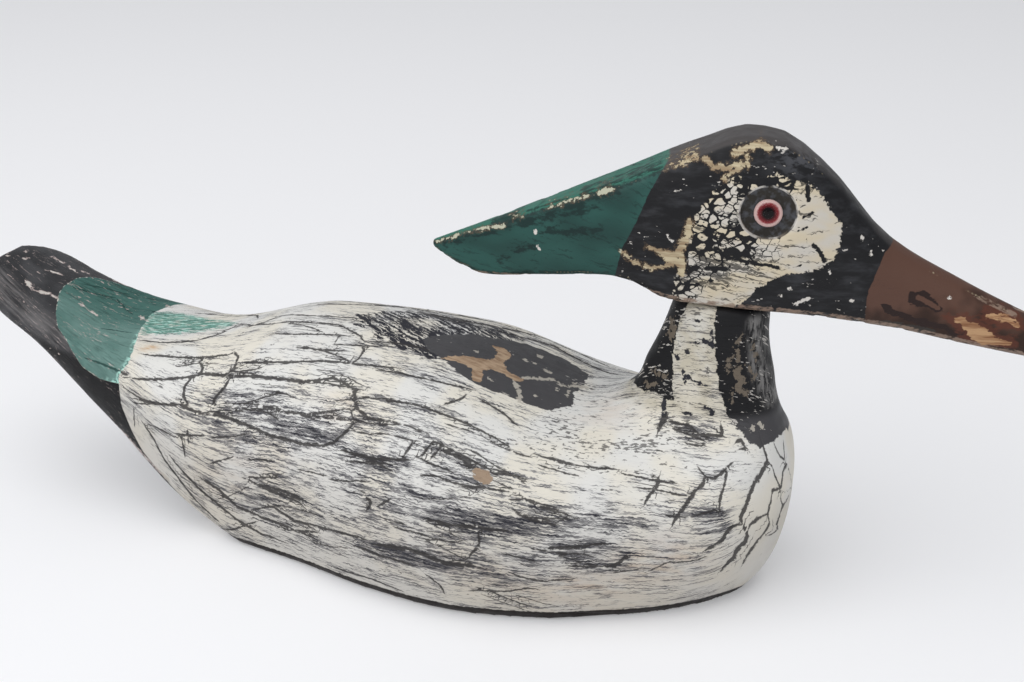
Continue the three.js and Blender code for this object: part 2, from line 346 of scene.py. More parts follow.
# Pale marks, where the dark coats are chipped to the ground, with their half widths
PALE_MARKS = [([[-261, -7], [-258, -10], [-255, -12]], 1.0), ([[-262, -1], [-260, -2]], 1.1),
              ([[-261, 12], [-258, 14]], 1.7), ([[-278, 4], [-277, 3]], 0.9),
              ([[-275, -9], [-274, -9]], 0.9), ([[-272, -3], [-271, -8]], 0.9),
              ([[-266, -8], [-265, -8]], 0.8), ([[-270, 16], [-266, 16]], 0.5),
              ([[-255, 14], [-250, 10], [-244, 10]], 1.3), ([[-235, 4], [-231, 4], [-225, 6]], 1.4),
              ([[-244, -23], [-236, -26]], 0.7), ([[-227, -10], [-222, -12], [-217, -13]], 0.7),
              ([[-219, -26], [-215, -26]], 0.8), ([[-208, -9], [-202, -5]], 1.3),
              ([[-251, -24], [-245, -28]], 0.5), ([[-255, 27], [-250, 28], [-245, 30]], 0.45),
              ([[-281, -3], [-280, -13]], 1.5), ([[-234, 47], [-228, 48]], 0.5),
              ([[-197, 80], [-183, 90], [-178, 94], [-166, 101]], 1.1), ([[-281, -16], [-279, 2]], 0.8),
              ([[-240, 0], [-232, -3]], 0.6), ([[12, 15], [20, 8], [27, 3], [32, 5], [43, 0]], 1.1),
              ([[11, 17], [16, 23], [19, 31]], 1.1), ([[14, -14], [15, -14]], 1.3),
              ([[10, -4], [15, -5]], 0.9), ([[21, -3], [24, -2]], 0.9), ([[36, -1], [37, -1]], 0.8),
              ([[36, 8], [37, 13]], 0.8), ([[24, 22], [24, 23]], 0.8), ([[31, 10], [32, 12]], 0.8),
              ([[-12, 7], [-10, 6]], 0.6), ([[1, 24], [4, 25]], 0.7), ([[127, 20], [128, 18]], 0.9),
              ([[130, 15], [131, 15]], 1.1)]
LEFT_MARKS = [([[-266, -20], [-258, -22], [-252, -21]], 1.1), ([[-238, -34], [-231, -36]], 1.3),
              ([[-222, -45], [-212, -46]], 0.8), ([[-275, -30], [-272, -32]], 1.2),
              ([[-262, -42], [-250, -44], [-240, -46]], 2.2), ([[-205, -30], [-199, -26]], 1.1)]

# Paint outlines and marks on the neck, as [x, z] seen from the side
NECK_FRONT_BLACK = [[107, 152], [107, 147], [108, 130], [109, 124], [110, 118], [111, 112], [113, 106],
                    [116, 99], [121, 93], [126, 88], [132, 85], [148, 88], [160, 120], [160, 152]]
NECK_BACK_BLACK = [[95, 152], [90, 138], [88, 124], [89, 117], [89, 110], [91, 103], [86, 102],
                   [82, 104], [75, 102], [66, 101], [58, 99], [40, 100], [40, 152]]
NECK_DARK_MARKS = [([[96, 115], [100, 113], [105, 112]], 0.8), ([[94, 117], [95, 111]], 0.7),
                   ([[103, 133], [105, 132]], 1.2), ([[94, 126], [96, 126]], 0.8),
                   ([[90, 123], [91, 122]], 1.0), ([[98, 131], [100, 131]], 0.6),
                   ([[106, 102], [109, 101], [109, 99]], 0.9), ([[86, 103], [87, 96]], 1.1),
                   ([[95, 99], [100, 98]], 0.7), ([[98, 142], [101, 141]], 0.6),
                   ([[106, 138], [107, 130]], 0.7)]
NECK_PALE_MARKS = [([[119, 136], [118, 132], [118, 126], [119, 121]], 0.8), ([[114, 124], [115, 119]], 1.0),
                   ([[117, 120], [119, 118], [121, 114], [119, 112], [122, 108]], 1.4),
                   ([[117, 108], [117, 105]], 0.9), ([[124, 131], [125, 124]], 0.4),
                   ([[123, 121], [126, 114]], 0.5), ([[79, 112], [85, 112]], 1.1),
                   ([[86, 137], [88, 134], [86, 131]], 1.6), ([[76, 105], [80, 107]], 0.9)]
# A painted sheen down the neck's front edge, as [x, z] and a half width
NECK_SHEEN_STREAK = ([[124, 142], [125, 132], [126, 121], [130, 110], [134, 102]], 3.0)

# Cracks through the white of the right side, as [x, distance round] and half width
CRACKS = [
    ([[-187, 47], [-164, 44], [-144, 41], [-124, 46], [-105, 50], [-86, 52], [-76, 50], [-70, 48],
      [-63, 50], [-57, 53], [-53, 62], [-46, 66], [-29, 67]], 0.78),
    ([[-187, 52], [-177, 56], [-165, 57], [-153, 57], [-141, 62], [-129, 65], [-112, 73], [-98, 79],
      [-80, 82], [-67, 82], [-61, 80], [-56, 75], [-52, 70], [-56, 62]], 0.74),
    ([[-191, 19], [-178, 19], [-160, 16], [-149, 10], [-143, 0]], 0.6),
    ([[-146, -1], [-132, 7], [-120, 11], [-99, 13], [-81, 12], [-68, 18], [-63, 23]], 0.6),
    ([[-183, 31], [-170, 30], [-160, 30], [-147, 30], [-135, 31], [-131, 31]], 0.7),
    ([[-149, 30], [-149, 34], [-146, 38], [-146, 42]], 0.6),
    ([[-131, 30], [-127, 35], [-127, 40], [-130, 45]], 0.6),
    ([[-127, 38], [-112, 41], [-97, 42], [-77, 39], [-59, 38], [-40, 36]], 0.6),
    ([[-150, 42], [-153, 48], [-152, 53], [-148, 57]], 0.6),
    ([[-127, 46], [-129, 51], [-134, 56], [-133, 61]], 0.65),
    ([[-106, 64], [-92, 67], [-78, 68], [-56, 69]], 0.5),
    ([[-109, 104], [-84, 109], [-75, 112]], 0.7),
    ([[-136, 10], [-117, 2], [-101, 6], [-85, 4], [-72, 3]], 0.5),
    ([[-116, 22], [-100, 24], [-86, 22], [-72, 20]], 0.45),
    ([[-96, 33], [-82, 32], [-69, 31]], 0.5),
    ([[-64, 26], [-61, 28], [-62, 35], [-64, 38]], 0.5),
    ([[-51, 40], [-42, 39], [-28, 39], [-14, 38], [-1, 36]], 0.55),
    ([[-64, 22], [-51, 18], [-36, 17], [-26, 20]], 0.6),
    ([[-53, 56], [-39, 56], [-25, 55], [-11, 56], [3, 56], [15, 57], [25, 59]], 0.5),
    ([[-12, 51], [-6, 45], [-4, 40]], 0.5),
    ([[2, 40], [14, 42], [24, 46]], 0.45),
    ([[-20, 73], [-23, 81]], 0.5),
    ([[-11, 71], [-15, 80]], 0.5),
    ([[-6, 70], [-10, 79]], 0.5),
    ([[-161, 86], [-154, 95], [-144, 105], [-134, 114], [-123, 125], [-109, 135], [-93, 140]], 0.65),
    ([[-143, 97], [-131, 106], [-121, 117], [-107, 124], [-86, 130], [-70, 133]], 0.75),
    ([[-178, 68], [-171, 78], [-166, 89], [-159, 98], [-148, 113], [-135, 126]], 0.55),
    ([[-115, 100], [-100, 108], [-80, 113], [-76, 116]], 0.6),
    ([[-101, 116], [-85, 124], [-64, 125], [-40, 126]], 0.7),
    ([[-56, 83], [-38, 85], [-20, 82]], 0.8),
    ([[-6, 73], [2, 73], [11, 76]], 1.0),
    ([[18, 74], [26, 71], [34, 70]], 0.7),
    ([[-37, 128], [-17, 125], [0, 126], [16, 121]], 1.1),
    ([[-9, 106], [3, 105], [17, 100], [30, 96]], 0.8),
    ([[-48, 131], [-33, 134], [-15, 134]], 0.7),
    ([[16, 100], [17, 108], [12, 118]], 0.5),
    ([[28, 82], [36, 79], [50, 78]], 0.5),
    ([[56, 105], [67, 104], [76, 101], [83, 95]], 0.55),
    ([[47, 98], [64, 93], [73, 90]], 0.6),
    ([[43, 123], [38, 124], [29, 130], [10, 139]], 0.4),
    ([[-10, 137], [-3, 142], [-2, 147]], 0.5),
    ([[-67, 150], [-43, 152], [-24, 156]], 0.45),
    ([[-40, 103], [-37, 106], [-40, 110]], 0.6),
    ([[-34, 107], [-27, 102]], 0.5),
    ([[107, 47], [111, 50], [115, 50], [118, 46], [120, 42], [122, 39]], 0.55),
    ([[111, 50], [111, 54], [108, 58], [106, 63], [103, 69], [100, 76]], 0.75),
    ([[120, 42], [120, 47], [120, 52], [119, 57], [119, 63]], 0.55),
    ([[130, 18], [134, 23], [136, 25], [135, 29], [134, 34], [132, 39], [131, 45], [129, 55],
      [128, 60], [129, 62], [131, 65], [130, 71], [127, 78], [126, 84], [123, 91], [120, 99]], 0.85),
    ([[129, 62], [125, 66], [123, 71], [121, 77], [117, 82], [114, 86]], 0.65),
    ([[136, 25], [138, 24], [139, 25], [142, 26], [141, 28], [139, 32], [139, 36], [138, 44], [139, 48],
      [138, 53], [135, 64], [133, 71], [131, 78], [128, 92]], 0.5),
    ([[138, 44], [135, 51], [132, 58], [131, 62]], 0.5),
    ([[142, 26], [142, 18], [144, 12]], 0.45),
    ([[137, 16], [140, 16], [142, 13], [140, 8]], 0.4),
    ([[142, 27], [142, 31], [143, 35], [142, 40], [141, 48], [141, 53], [138, 58]], 0.45),
    ([[107, 70], [114, 66], [117, 63], [122, 62]], 0.4),
    ([[96, 72], [101, 72], [107, 70]], 0.35),
    ([[91, 55], [91, 60], [89, 64], [87, 69]], 0.7),
    ([[88, 105], [99, 96], [108, 94], [116, 88]], 0.35),
    ([[70, 103], [76, 102], [80, 97], [82, 94]], 0.7),
    ([[89, 28], [100, 29], [105, 32], [110, 31], [117, 29]], 0.6),
    ([[92, 31], [101, 33], [108, 34]], 0.6),
    ([[99, 37], [104, 37], [109, 36]], 0.5),
    ([[86, 33], [87, 28], [89, 25]], 1.3),
    ([[114, 25], [115, 29]], 0.8),
    ([[121, 30], [123, 27], [126, 29], [123, 32]], 0.6),
    ([[-246, -6], [-237, -11], [-227, -18]], 0.5),
    ([[-246, -12], [-235, -21], [-224, -27]], 0.45),
    ([[-227, -18], [-212, -9]], 0.5),
    ([[-217, 16], [-209, 13], [-200, 12]], 0.35),
    ([[-211, 43], [-201, 43], [-192, 44], [-183, 46]], 0.6),
    ([[-60, -22], [-25, -26], [-10, -33], [7, -49], [25, -47], [46, -37]], 1.1),
    ([[-12, -24], [0, -29], [15, -37], [30, -31], [52, -24]], 0.9),
    ([[-110, -8], [-90, -14], [-60, -30], [-30, -38], [-5, -46]], 0.9),
    ([[-120, -20], [-84, -28], [-50, -44]], 0.8),
]

# Cracks of the hidden side's breast, where the right side's would meet their own mirror image
LEFT_BREAST_CRACKS = [([[118, -30], [121, -40], [117, -52], [119, -66], [125, -74], [124, -88]], 0.7),
                      ([[134, -22], [131, -36], [133, -50], [128, -64], [129, -80]], 0.75),
                      ([[133, -50], [139, -58], [137, -72]], 0.5),
                      ([[106, -60], [112, -70], [109, -84]], 0.6),
                      ([[119, -66], [110, -72], [98, -74]], 0.45),
                      ([[98, -36], [108, -40], [118, -38]], 0.5)]

# Where the dark shows most through the white, as centre, size and strength in [x, distance round]
DARK_PLACES = [([8, 102], [28, 7], 0.30), ([38, 92], [26, 8], 0.22), ([-14, 128], [26, 6], 0.26),
               ([18, 122], [20, 7], 0.22), ([-84, 77], [30, 5], 0.26), ([2, 74], [12, 4], 0.16),
               ([-90, 110], [18, 4], 0.14), ([-134, 55], [15, 4], 0.2), ([-80, 95], [30, 8], 0.1),
               ([62, 81], [26, 5], 0.2), ([82, 80], [14, 5], 0.28), ([121, 65], [6, 4], 0.26),
               ([68, 104], [15, 4], 0.08), ([105, 32], [13, 4], 0.30), ([87, 29], [4, 4], 0.3),
               ([-48, 66], [8, 6], 0.2), ([-38, 84], [22, 4], 0.17), ([-90, 60], [36, 8], 0.1),
               ([-20, -30], [90, 14], 0.16), ([110, 95], [22, 18], -0.12), ([60, 48], [44, 26], -0.36),
               ([-172, 78], [20, 20], -0.34), ([-165, 38], [20, 8], -0.1),
               ([-110, 28], [34, 10], -0.04), ([120, 69], [9, 5], 0.3), ([60, 128], [44, 9], -0.1),
               ([-60, 46], [24, 6], -0.08), ([10, 46], [16, 6], -0.14), ([-84, 70], [28, 8], 0.12),
               ([135, 40], [10, 30], -0.1)]

# Where the coats are most chipped
CHIPPED_PLACES = [([56, 36], [26, 16], 0.34), ([82, 46], [16, 12], 0.24), ([46, 4], [8, 10], 0.3),
                  ([40, 50], [22, 10], 0.2), ([96, 27], [22, 10], 0.2)]

# Zones of short seeded cracks, as x, distance round, how many, how long and their half width
SHORT_CRACKS = [((-190, -70), (6, 70), 20, 34, 0.42), ((-160, 90), (50, 140), 60, 32, 0.45)]
CROSS_CRACKS = 0.08
CRACK_SEED = 11
CRACK_WANDER = 1.7

# The left side's wear is the right side's, shifted a little, past the top of the back. The cracks that
# start clear of the back's middle and behind the breast are carried over.
LEFT_SHIFT = [9.0, 3.0]
LEFT_NECK_SHIFT = [1.5, -2.0]
BACK_TOP = 36
BACK_MIDDLE = 12
BREAST_X = 86

# Heights of the dark band at the foot: dark paint, made taller by painted shade along the foot
FOOT_BAND_X = [-150, -110, -70, -20, 40, 80, 110, 140]
FOOT_BAND_AND_SHADE = [4.6, 5.0, 5.4, 5.8, 6.0, 5.6, 5.0, 4.4]
GRAIN_WIDTH = 160.0
NOT_HERE = -9


def wandering_cracks(chance, x_ends, round_ends, count, length, width):
    """Short seeded cracks along the grain inside a zone, with a few cross cracks."""
    made = []
    for _ in range(count):
        x, side = chance.uniform(*x_ends), chance.uniform(*round_ends)
        cross = chance.random() < CROSS_CRACKS
        heading = chance.uniform(1.2, 1.9) if cross else chance.gauss(0, 0.06)
        left = chance.uniform(0.4, 1.0) * length * (0.22 if cross else 1.0)
        path = [[x, side]]
        while left > 0:
            step = chance.uniform(4, 8)
            heading += chance.gauss(0, 0.1)
            x, side = x + step * math.cos(heading), side + step * math.sin(heading)
            path.append([x, side])
            left -= step
        made.append((path, width * chance.uniform(0.5, 1.1)))
    return made


body = even_skin("body", "decoy_body", BODY_SQUARE)
sand(body, BODY_SANDING, lambda place: place.z < FOOT_HEIGHT)
sand(body, FOOT_SANDING, lambda place: place.z < FOOT_FACE)
girth = Girth(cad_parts["body"].data)
body_mm = points_of(body.data)
body_out = normals_of(body.data)
round_mm, foot_mm = girth.read(body_mm)
along_mm = girth.along(body_mm[:, 0])
side_sign = np.where(body_mm[:, 1] > 0, -1.0, 1.0)
down_share = round_mm / np.maximum(foot_mm, 1)
neck_share = smooth_step(body_mm[:, 2], NECK_FOOT_Z - 2, NECK_FOOT_Z + 4) * (body_mm[:, 0] > NECK_BACK_X)
underside = smooth_step(-body_out[:, 2], 0.75, 0.95) * (body_mm[:, 2] < UNDER_HEIGHT)
end_grain = smooth_step(np.abs(body_out[:, 0]), 0.6, 0.88) * (1 - neck_share) * (1 - underside)
places = np.stack([along_mm, side_sign * round_mm], axis=1)
side_places = np.where(places[:, 1:] < -BACK_TOP, places * [1, -1], places)
neck_places = body_mm[:, [0, 2]] - (side_sign < 0)[:, None] * np.array(LEFT_NECK_SHIFT)


def body_line(outline, shift=(0, 0), turn=1):
    """An outline's x values turned into lengths along the bird, on the right or over on the left."""
    return [[float(girth.along(x)) + shift[0], turn * (side + shift[1])] for x, side in outline]


def body_marks(marks, shift=(0, 0), turn=1):
    return [(body_line(path, shift, turn), width) for path, width in marks]


def body_swells(marks):
    """Soft swells on both of the body's sides."""
    return swells(side_places, [(*body_line([centre]), size, strength)
                                for centre, size, strength in marks])


chance = random.Random(CRACK_SEED)
cracks = body_marks(CRACKS)
cracks += body_marks([(path, width) for path, width in CRACKS
                      if min(path)[1] > BACK_MIDDLE and path[0][0] < BREAST_X], LEFT_SHIFT, -1)
cracks += body_marks(LEFT_BREAST_CRACKS)
for turn in (1, -1):
    for zone in SHORT_CRACKS:
        cracks += [([[x, turn * side] for x, side in path], width)
                   for path, width in wandering_cracks(chance, *zone)]
crack_across, crack_near, crack_half = crack_field(places, cracks)
crack_half = crack_half * (1 - neck_share) * (1 - underside)

tail_black = inside(places, body_line(TAIL_BLACK))
back_patch = inside(places, body_line(BACK_PATCH))
bare_back = inside(places, body_line(BARE_BACK))
from_spot = np.hypot(*((places - body_line([BROWN_SPOT])) / BROWN_SPOT_SIZE).T)
pale = near(places, *body_marks(PALE_MARKS + LEFT_MARKS))

# How much of the white has gone in strokes, and how chipped each coat is
low_side = smooth_step(down_share, 0.35, 0.6)
by_foot = smooth_step(down_share, 0.8, 0.95)
rump_top = smooth_step(-along_mm, 40, 110) * (1 - smooth_step(down_share, 0.3, 0.5))
breast = smooth_step(body_mm[:, 0], 108, 126)
stripe_edges = smooth_step(np.abs(neck_places[:, 0] - NECK_STRIPE_X), 3, 9) * neck_share
by_crack = np.exp(-(crack_near / 3.5) ** 2) * (crack_half > 0.3)
strokes = (0.425 + 0.07 * low_side - 0.08 * by_foot - 0.09 * rump_top - 0.12 * breast - 0.06 * neck_share
           + 0.1 * stripe_edges + 0.75 * body_swells(DARK_PLACES) + 0.09 * by_crack - 0.42 * end_grain)
on_tail = smooth_step(-along_mm, 185, 200)
in_patch = smooth_step(back_patch, -2, 0)
crack_lip = np.exp(-(crack_near / 2.5) ** 2) * (crack_half > 0.4)
chip_cover = (0.33 + 0.13 * neck_share + 0.05 * on_tail - 0.08 * in_patch + body_swells(CHIPPED_PLACES)
              + 0.16 * crack_lip - 0.3 * end_grain)

on_neck = neck_share > 0.5
# painted shade: where the skin turns under at the foot it is painted dark all over
shaded_under_edge = (body_out[:, 2] < -0.6) & (body_mm[:, 2] < 2.5)
foot_band_and_shade = np.interp(body_mm[:, 0], FOOT_BAND_X, FOOT_BAND_AND_SHADE) - body_mm[:, 2]
lift = np.maximum(body_mm[:, 2] - NECK_FOOT_Z, 0) * neck_share
for name, values in {
        "tail_black": tail_black, "tail_side": smooth_step(round_mm, 40, 48),
        "teal_band": np.minimum(inside(places, body_line(TEAL_BAND)), -tail_black),
        "teal_scumble": inside(places, body_line(TEAL_SCUMBLE)),
        "lower_teal": smooth_step(places[:, 1], -14, 22), "white_side": smooth_step(along_mm, -206, -199),
        "scrape_and_sheen": near(places, *body_marks([SCRAPE_AND_SHEEN])),
        "back_patch": back_patch, "back_mix": inside(places, body_line(BACK_MIX)), "bare": bare_back,
        "strokes": strokes, "chip_cover": chip_cover, "stain": body_swells(STAINS), "neck": neck_share,
        "neck_black": np.maximum(inside(neck_places, NECK_FRONT_BLACK),
                                 inside(neck_places, NECK_BACK_BLACK)),
        "neck_dark": np.where(body_mm[:, 2] > 92, near(neck_places, *NECK_DARK_MARKS), NOT_HERE),
        "neck_pale": np.where(on_neck, near(neck_places, *NECK_PALE_MARKS), NOT_HERE),
        "neck_sheen_streak": np.where(on_neck, near(neck_places, NECK_SHEEN_STREAK), NOT_HERE),
        "pale": np.where(on_neck | (body_out[:, 0] < -0.6), NOT_HERE, pale - 0.35 * (along_mm < -200)),
        "pale_core": pale - 0.9, "brown_spot": (1 - from_spot) * min(BROWN_SPOT_SIZE),
        "crack_across": crack_across, "crack_near": crack_near, "crack_half": crack_half,
        "underside": underside, "end_grain": end_grain,
        # painted shade: the white is greyed towards the foot of the flanks
        "lower_flank_shade": smooth_step(down_share, 0.45, 0.85) * (1 - neck_share),
        "foot_band_and_shade": np.where(shaded_under_edge, -NOT_HERE, foot_band_and_shade),
        "grain_way": np.stack([along_mm, side_sign * (down_share * GRAIN_WIDTH - lift),
                               np.zeros(len(along_mm))], axis=1)}.items():
    mark(body, name, values)

TOOL_WAVE = 38.0
TOOL_DEPTH = 0.45
GRAIN_DEPTH = 0.07
CRACK_DEPTH = 0.4
SPOT_DEPTH = 0.5
BARE_DEPTH = 0.25
CHIP_DEPTH = 0.2


def waves(places, size, octaves, seed):
    """Soft seeded noise, from about -1 to 1, with its own length in each direction."""
    return np.array([noise.fractal(Vector(place), 1.0, 2.0, octaves)
                     for place in places / np.array(size, float) + seed])


hollow = TOOL_DEPTH * waves(body_mm, [TOOL_WAVE * 1.6, TOOL_WAVE, TOOL_WAVE], 2, 3.7)
ridges = GRAIN_DEPTH * waves(np.stack([along_mm, body_mm[:, 1] * 3, down_share * GRAIN_WIDTH], axis=1),
                             [40, 30, 3], 2, 9.1)
groove = CRACK_DEPTH * np.clip(1 - crack_near / (crack_half + 1.0), 0, 1) * (crack_half > 0.45)
dent = (SPOT_DEPTH * np.clip(1 - from_spot, 0, 0.6) + BARE_DEPTH * np.clip(bare_back / 2, 0, 1)
        + CHIP_DEPTH * np.clip(pale / 1.5, 0, 1))
press(body, (hollow + ridges * (1 - end_grain) + groove + dent) * (1 - underside))


def srgb(red, green, blue):
    """A paint colour as it would be mixed to match a swatch of these 0 to 255 values."""
    return tuple(((c / 255 + 0.055) / 1.055) ** 2.4 if c > 10 else c / 255 / 12.92
                 for c in (red, green, blue)) + (1.0,)


class Mix:
    """A node tree written as coats. Each call adds nodes and gives back the last one's output. A
    name given for a value is a mark that the mesh carries."""

    def __init__(self, tree):
        self.tree = tree

    def feed(self, node, inputs):
        """Sets or links a node's inputs."""
        for name, value in inputs.items():
            if isinstance(value, str):
                value = self.add("ShaderNodeAttribute", {}, "Fac", attribute_name=value)
            if isinstance(value, bpy.types.NodeSocket):
                self.tree.links.new(value, node.inputs[name])
            else:
                node.inputs[name].default_value = value

    def add(self, kind, inputs, output=0, **settings):
        made = self.tree.nodes.new(kind)
        for name, value in settings.items():
            setattr(made, name, value)
        self.feed(made, inputs)
        return made.outputs[output]

    def math(self, operation, *terms, clamp=False):
        """One operation on a value, or on two or more in turn."""
        total = terms[0]
        for term in terms[1:] or [0.0]:
            total = self.add("ShaderNodeMath", {0: total, 1: term}, operation=operation, use_clamp=clamp)
        return total

    def plus(self, *terms):
        return self.math("ADD", *terms)

    def times(self, *terms):
        return self.math("MULTIPLY", *terms)

    def most(self, *terms):
        return self.math("MAXIMUM", *terms)

    def less(self, first, second):
        return self.math("SUBTRACT", first, second)

    def rest(self, value):
        return self.math("SUBTRACT", 1.0, value, clamp=True)

    def step(self, value, low, high, bottom=0.0, top=1.0):
        """Runs softly from bottom to top as value passes from low to high."""
        return self.add("ShaderNodeMapRange", {"Value": value, "From Min": low, "From Max": high,
                                               "To Min": bottom, "To Max": top},
                        interpolation_type="SMOOTHSTEP")

    def layer(self, share, under, over):
        """One colour laid over another where share is 1."""
        return self.add("ShaderNodeMix", {0: share, 6: under, 7: over}, 2, data_type="RGBA")

    def coats(self, colour, *coats):
        """Coats laid over a colour in turn, each with its share, its strength and its own colour."""
        for share, strength, over in coats:
            share = self.times(share, strength) if strength < 1 else share
            colour = self.layer(share, colour, over)
        return colour

    def way(self, name):
        """A vector that the mesh carries."""
        return self.add("ShaderNodeAttribute", {}, "Vector", attribute_name=name)

    def stretch(self, place, scale):
        return self.add("ShaderNodeVectorMath", {0: place, 1: scale}, operation="MULTIPLY")

    def scaled(self, place, scale):
        return self.add("ShaderNodeVectorMath", {0: place, "Scale": scale}, operation="SCALE")

    def clouds(self, place, size=1.0, detail=2.0, rough=0.55, flat=False):
        """Soft noise from 0 to 1, about `size` units from one swell to the next."""
        return self.add("ShaderNodeTexNoise", {"Vector": place, "Scale": 1.0 / size, "Detail": detail,
                                               "Roughness": rough}, "Fac",
                        noise_dimensions="2D" if flat else "3D")

    def torn(self, place, size):
        """Rough noise from about -0.3 to 0.3, for the ragged edge of a coat."""
        return self.less(self.clouds(place, size, 3.0, 0.65), 0.5)

    def edge(self, name, torn, fray):
        """1 inside an outline that the mesh carries, with an edge torn by up to half of fray."""
        return self.step(self.plus(name, self.times(torn, fray)), -0.2, 0.2)

    def place(self):
        """Places on the piece in millimetres."""
        return self.scaled(self.add("ShaderNodeTexCoord", {}, "Object"), 1 / MM)

    def group(self, tree, inputs):
        return self.add("ShaderNodeGroup", inputs, node_tree=tree)


FLOAT, VECTOR, COLOUR = "NodeSocketFloat", "NodeSocketVector", "NodeSocketColor"


def new_group(name, inputs, outputs):
    """An empty node group and its Mix, its input sockets and its output node. An input is given as
    its kind or as its usual value."""
    tree = bpy.data.node_groups.new(name, "ShaderNodeTree")
    for socket, value in inputs.items():
        kind = value if isinstance(value, str) else COLOUR if isinstance(value, tuple) else FLOAT
        made = tree.interface.new_socket(socket, in_out="INPUT", socket_type=kind)
        if kind != value:
            made.default_value = value
    for socket, kind in outputs.items():
        tree.interface.new_socket(socket, in_out="OUTPUT", socket_type=kind)
    start, end = tree.nodes.new("NodeGroupInput"), tree.nodes.new("NodeGroupOutput")
    return tree, Mix(tree), start.outputs, end


# Strokes where a dry brush missed the ground or the paint has worn off along the grain. The grain way
# is length along the grain and distance across it, in millimetres.
dry_strokes, mix, given, gives = new_group(
    "dry_strokes", {"Grain way": VECTOR, "Cover": 0.4, "Length": 26.0, "Width": 1.3, "Soft": 0.03},
    {"Mask": FLOAT, "Thin": FLOAT, "Deep": FLOAT})
STROKE_LEVEL = 0.58
along = mix.add("ShaderNodeSeparateXYZ", {0: given["Grain way"]}, "X")
across = along.node.outputs["Y"]
jagged = mix.times(mix.less(mix.clouds(given["Grain way"], 2.2, 1.0, flat=True), 0.5), given["Width"], 1.5)
bristle_place = mix.add("ShaderNodeCombineXYZ", {
    "X": mix.math("DIVIDE", along, given["Length"]),
    "Y": mix.math("DIVIDE", mix.plus(across, jagged), given["Width"])})
bristles = mix.clouds(bristle_place, 1.0, 3.0, 0.7, flat=True)
gathered = mix.clouds(mix.stretch(given["Grain way"], (0.02, 0.15, 1.0)), 1.0, 2.0, flat=True)
level = mix.plus(bristles, mix.times(mix.less(gathered, 0.5), 0.34),
                 mix.times(mix.less(given["Cover"], 0.5), 0.45))
stroke = mix.step(level, mix.less(STROKE_LEVEL, given["Soft"]), mix.plus(STROKE_LEVEL, given["Soft"]))
mix.feed(gives, {"Mask": stroke, "Thin": mix.step(level, 0.42, 0.64),
                 "Deep": mix.step(level, STROKE_LEVEL, 0.72)})

# Gaps between small plates of paint that has shrunk on the wood
shrunk_net, mix, given, gives = new_group(
    "shrunk_net", {"Place": VECTOR, "Plate": 4.0, "Width": 0.06}, {"Mask": FLOAT})
bent = mix.times(mix.less(mix.clouds(given["Place"], 2.6, 2.0), 0.5), 3.0)
plate_place = mix.add("ShaderNodeVectorMath", {0: given["Place"], 1: mix.add("ShaderNodeCombineXYZ", {
    "X": bent, "Y": bent, "Z": bent})}, operation="ADD")
plates = {"Vector": plate_place, "Scale": mix.math("DIVIDE", 1.0, given["Plate"])}
gap = mix.add("ShaderNodeTexVoronoi", plates, "Distance", feature="DISTANCE_TO_EDGE")
corner = mix.add("ShaderNodeTexVoronoi", plates, "Distance", feature="F1")
width = mix.times(given["Width"], mix.step(mix.clouds(given["Place"], 6.0, 1.0), 0.3, 0.7, 0.2, 1.8))
open_gap = mix.step(mix.less(width, gap), -0.03, 0.03)
open_corner = mix.step(mix.plus(corner, mix.times(width, 1.4)), 0.74, 0.82)
mix.feed(gives, {"Mask": mix.most(open_gap, open_corner)})

# Small chips knocked out of the paint, in loose clusters
chips, mix, given, gives = new_group("chips", {"Place": VECTOR, "Size": 2.0, "Cover": 0.3}, {"Mask": FLOAT})
chip_place = mix.scaled(given["Place"], mix.math("DIVIDE", 1.0, given["Size"]))
level = mix.plus(mix.clouds(chip_place, 1.0, 2.0, 0.6),
                 mix.times(mix.less(mix.clouds(chip_place, 7.0, 1.0), 0.5), 0.5),
                 mix.times(mix.less(given["Cover"], 0.5), 0.4))
mix.feed(gives, {"Mask": mix.step(level, 0.64, 0.67)})

# Bare softwood: tan, with darker lines along the grain
bare_wood, mix, given, gives = new_group(
    "bare_wood", {"Place": VECTOR, "Pale": srgb(176, 152, 127), "Dark": srgb(142, 117, 94)},
    {"Colour": COLOUR})
lines = mix.clouds(mix.stretch(given["Place"], (0.05, 0.5, 0.5)), 1.0, 3.0, 0.6)
mix.feed(gives, {"Colour": mix.layer(mix.step(lines, 0.38, 0.66), given["Pale"], given["Dark"])})

WHITE = srgb(215, 214, 210)
CREAM = srgb(217, 212, 200)
VEIL = srgb(178, 178, 180)
PALE_GROUND = srgb(206, 201, 194)
CHARCOAL = srgb(44, 44, 50)
STROKE_GREY = srgb(88, 87, 91)
CRACK_TONE = srgb(56, 54, 54)
BACK_BLACK = srgb(72, 71, 73)
TEAL = srgb(66, 104, 97)
TEAL_SHEEN = srgb(104, 136, 129)
TEAL_DARK = srgb(34, 62, 58)
TEAL_SCUMBLED = srgb(78, 132, 119)
TEAL_PALE = srgb(168, 212, 200)
TAIL_GREY = srgb(72, 72, 74)
# Near black of the tail's sides, partly paint and partly painted shade
TAIL_SIDE_BLACK_AND_SHADE = srgb(17, 17, 19)
TAIL_SHEEN = srgb(116, 113, 113)
CHIP_PINK = srgb(186, 170, 165)
PATCH_LINE = srgb(182, 176, 165)
STAIN_TAN = srgb(194, 166, 136)
# Grey of the painted shade on the lower flanks
LOWER_FLANK_SHADE_GREY = srgb(176, 170, 160)
SPOT_BROWN = srgb(154, 134, 114)
NECK_WORN = srgb(112, 102, 90)
NECK_SHEEN_GREY = srgb(138, 136, 134)
NECK_CREAM = srgb(187, 180, 163)
NECK_BLACK = srgb(23, 23, 25)
FOOT_BROWN = srgb(34, 29, 28)
UNDER_BROWN = srgb(62, 52, 45)
PAINT_GLOSS = 0.16
PAINT_ROUGHNESS = 0.5
ROUGHNESS_SPREAD = 0.08
RELIEF_STRENGTH = 0.8
CHIP_SIZE = 1.5


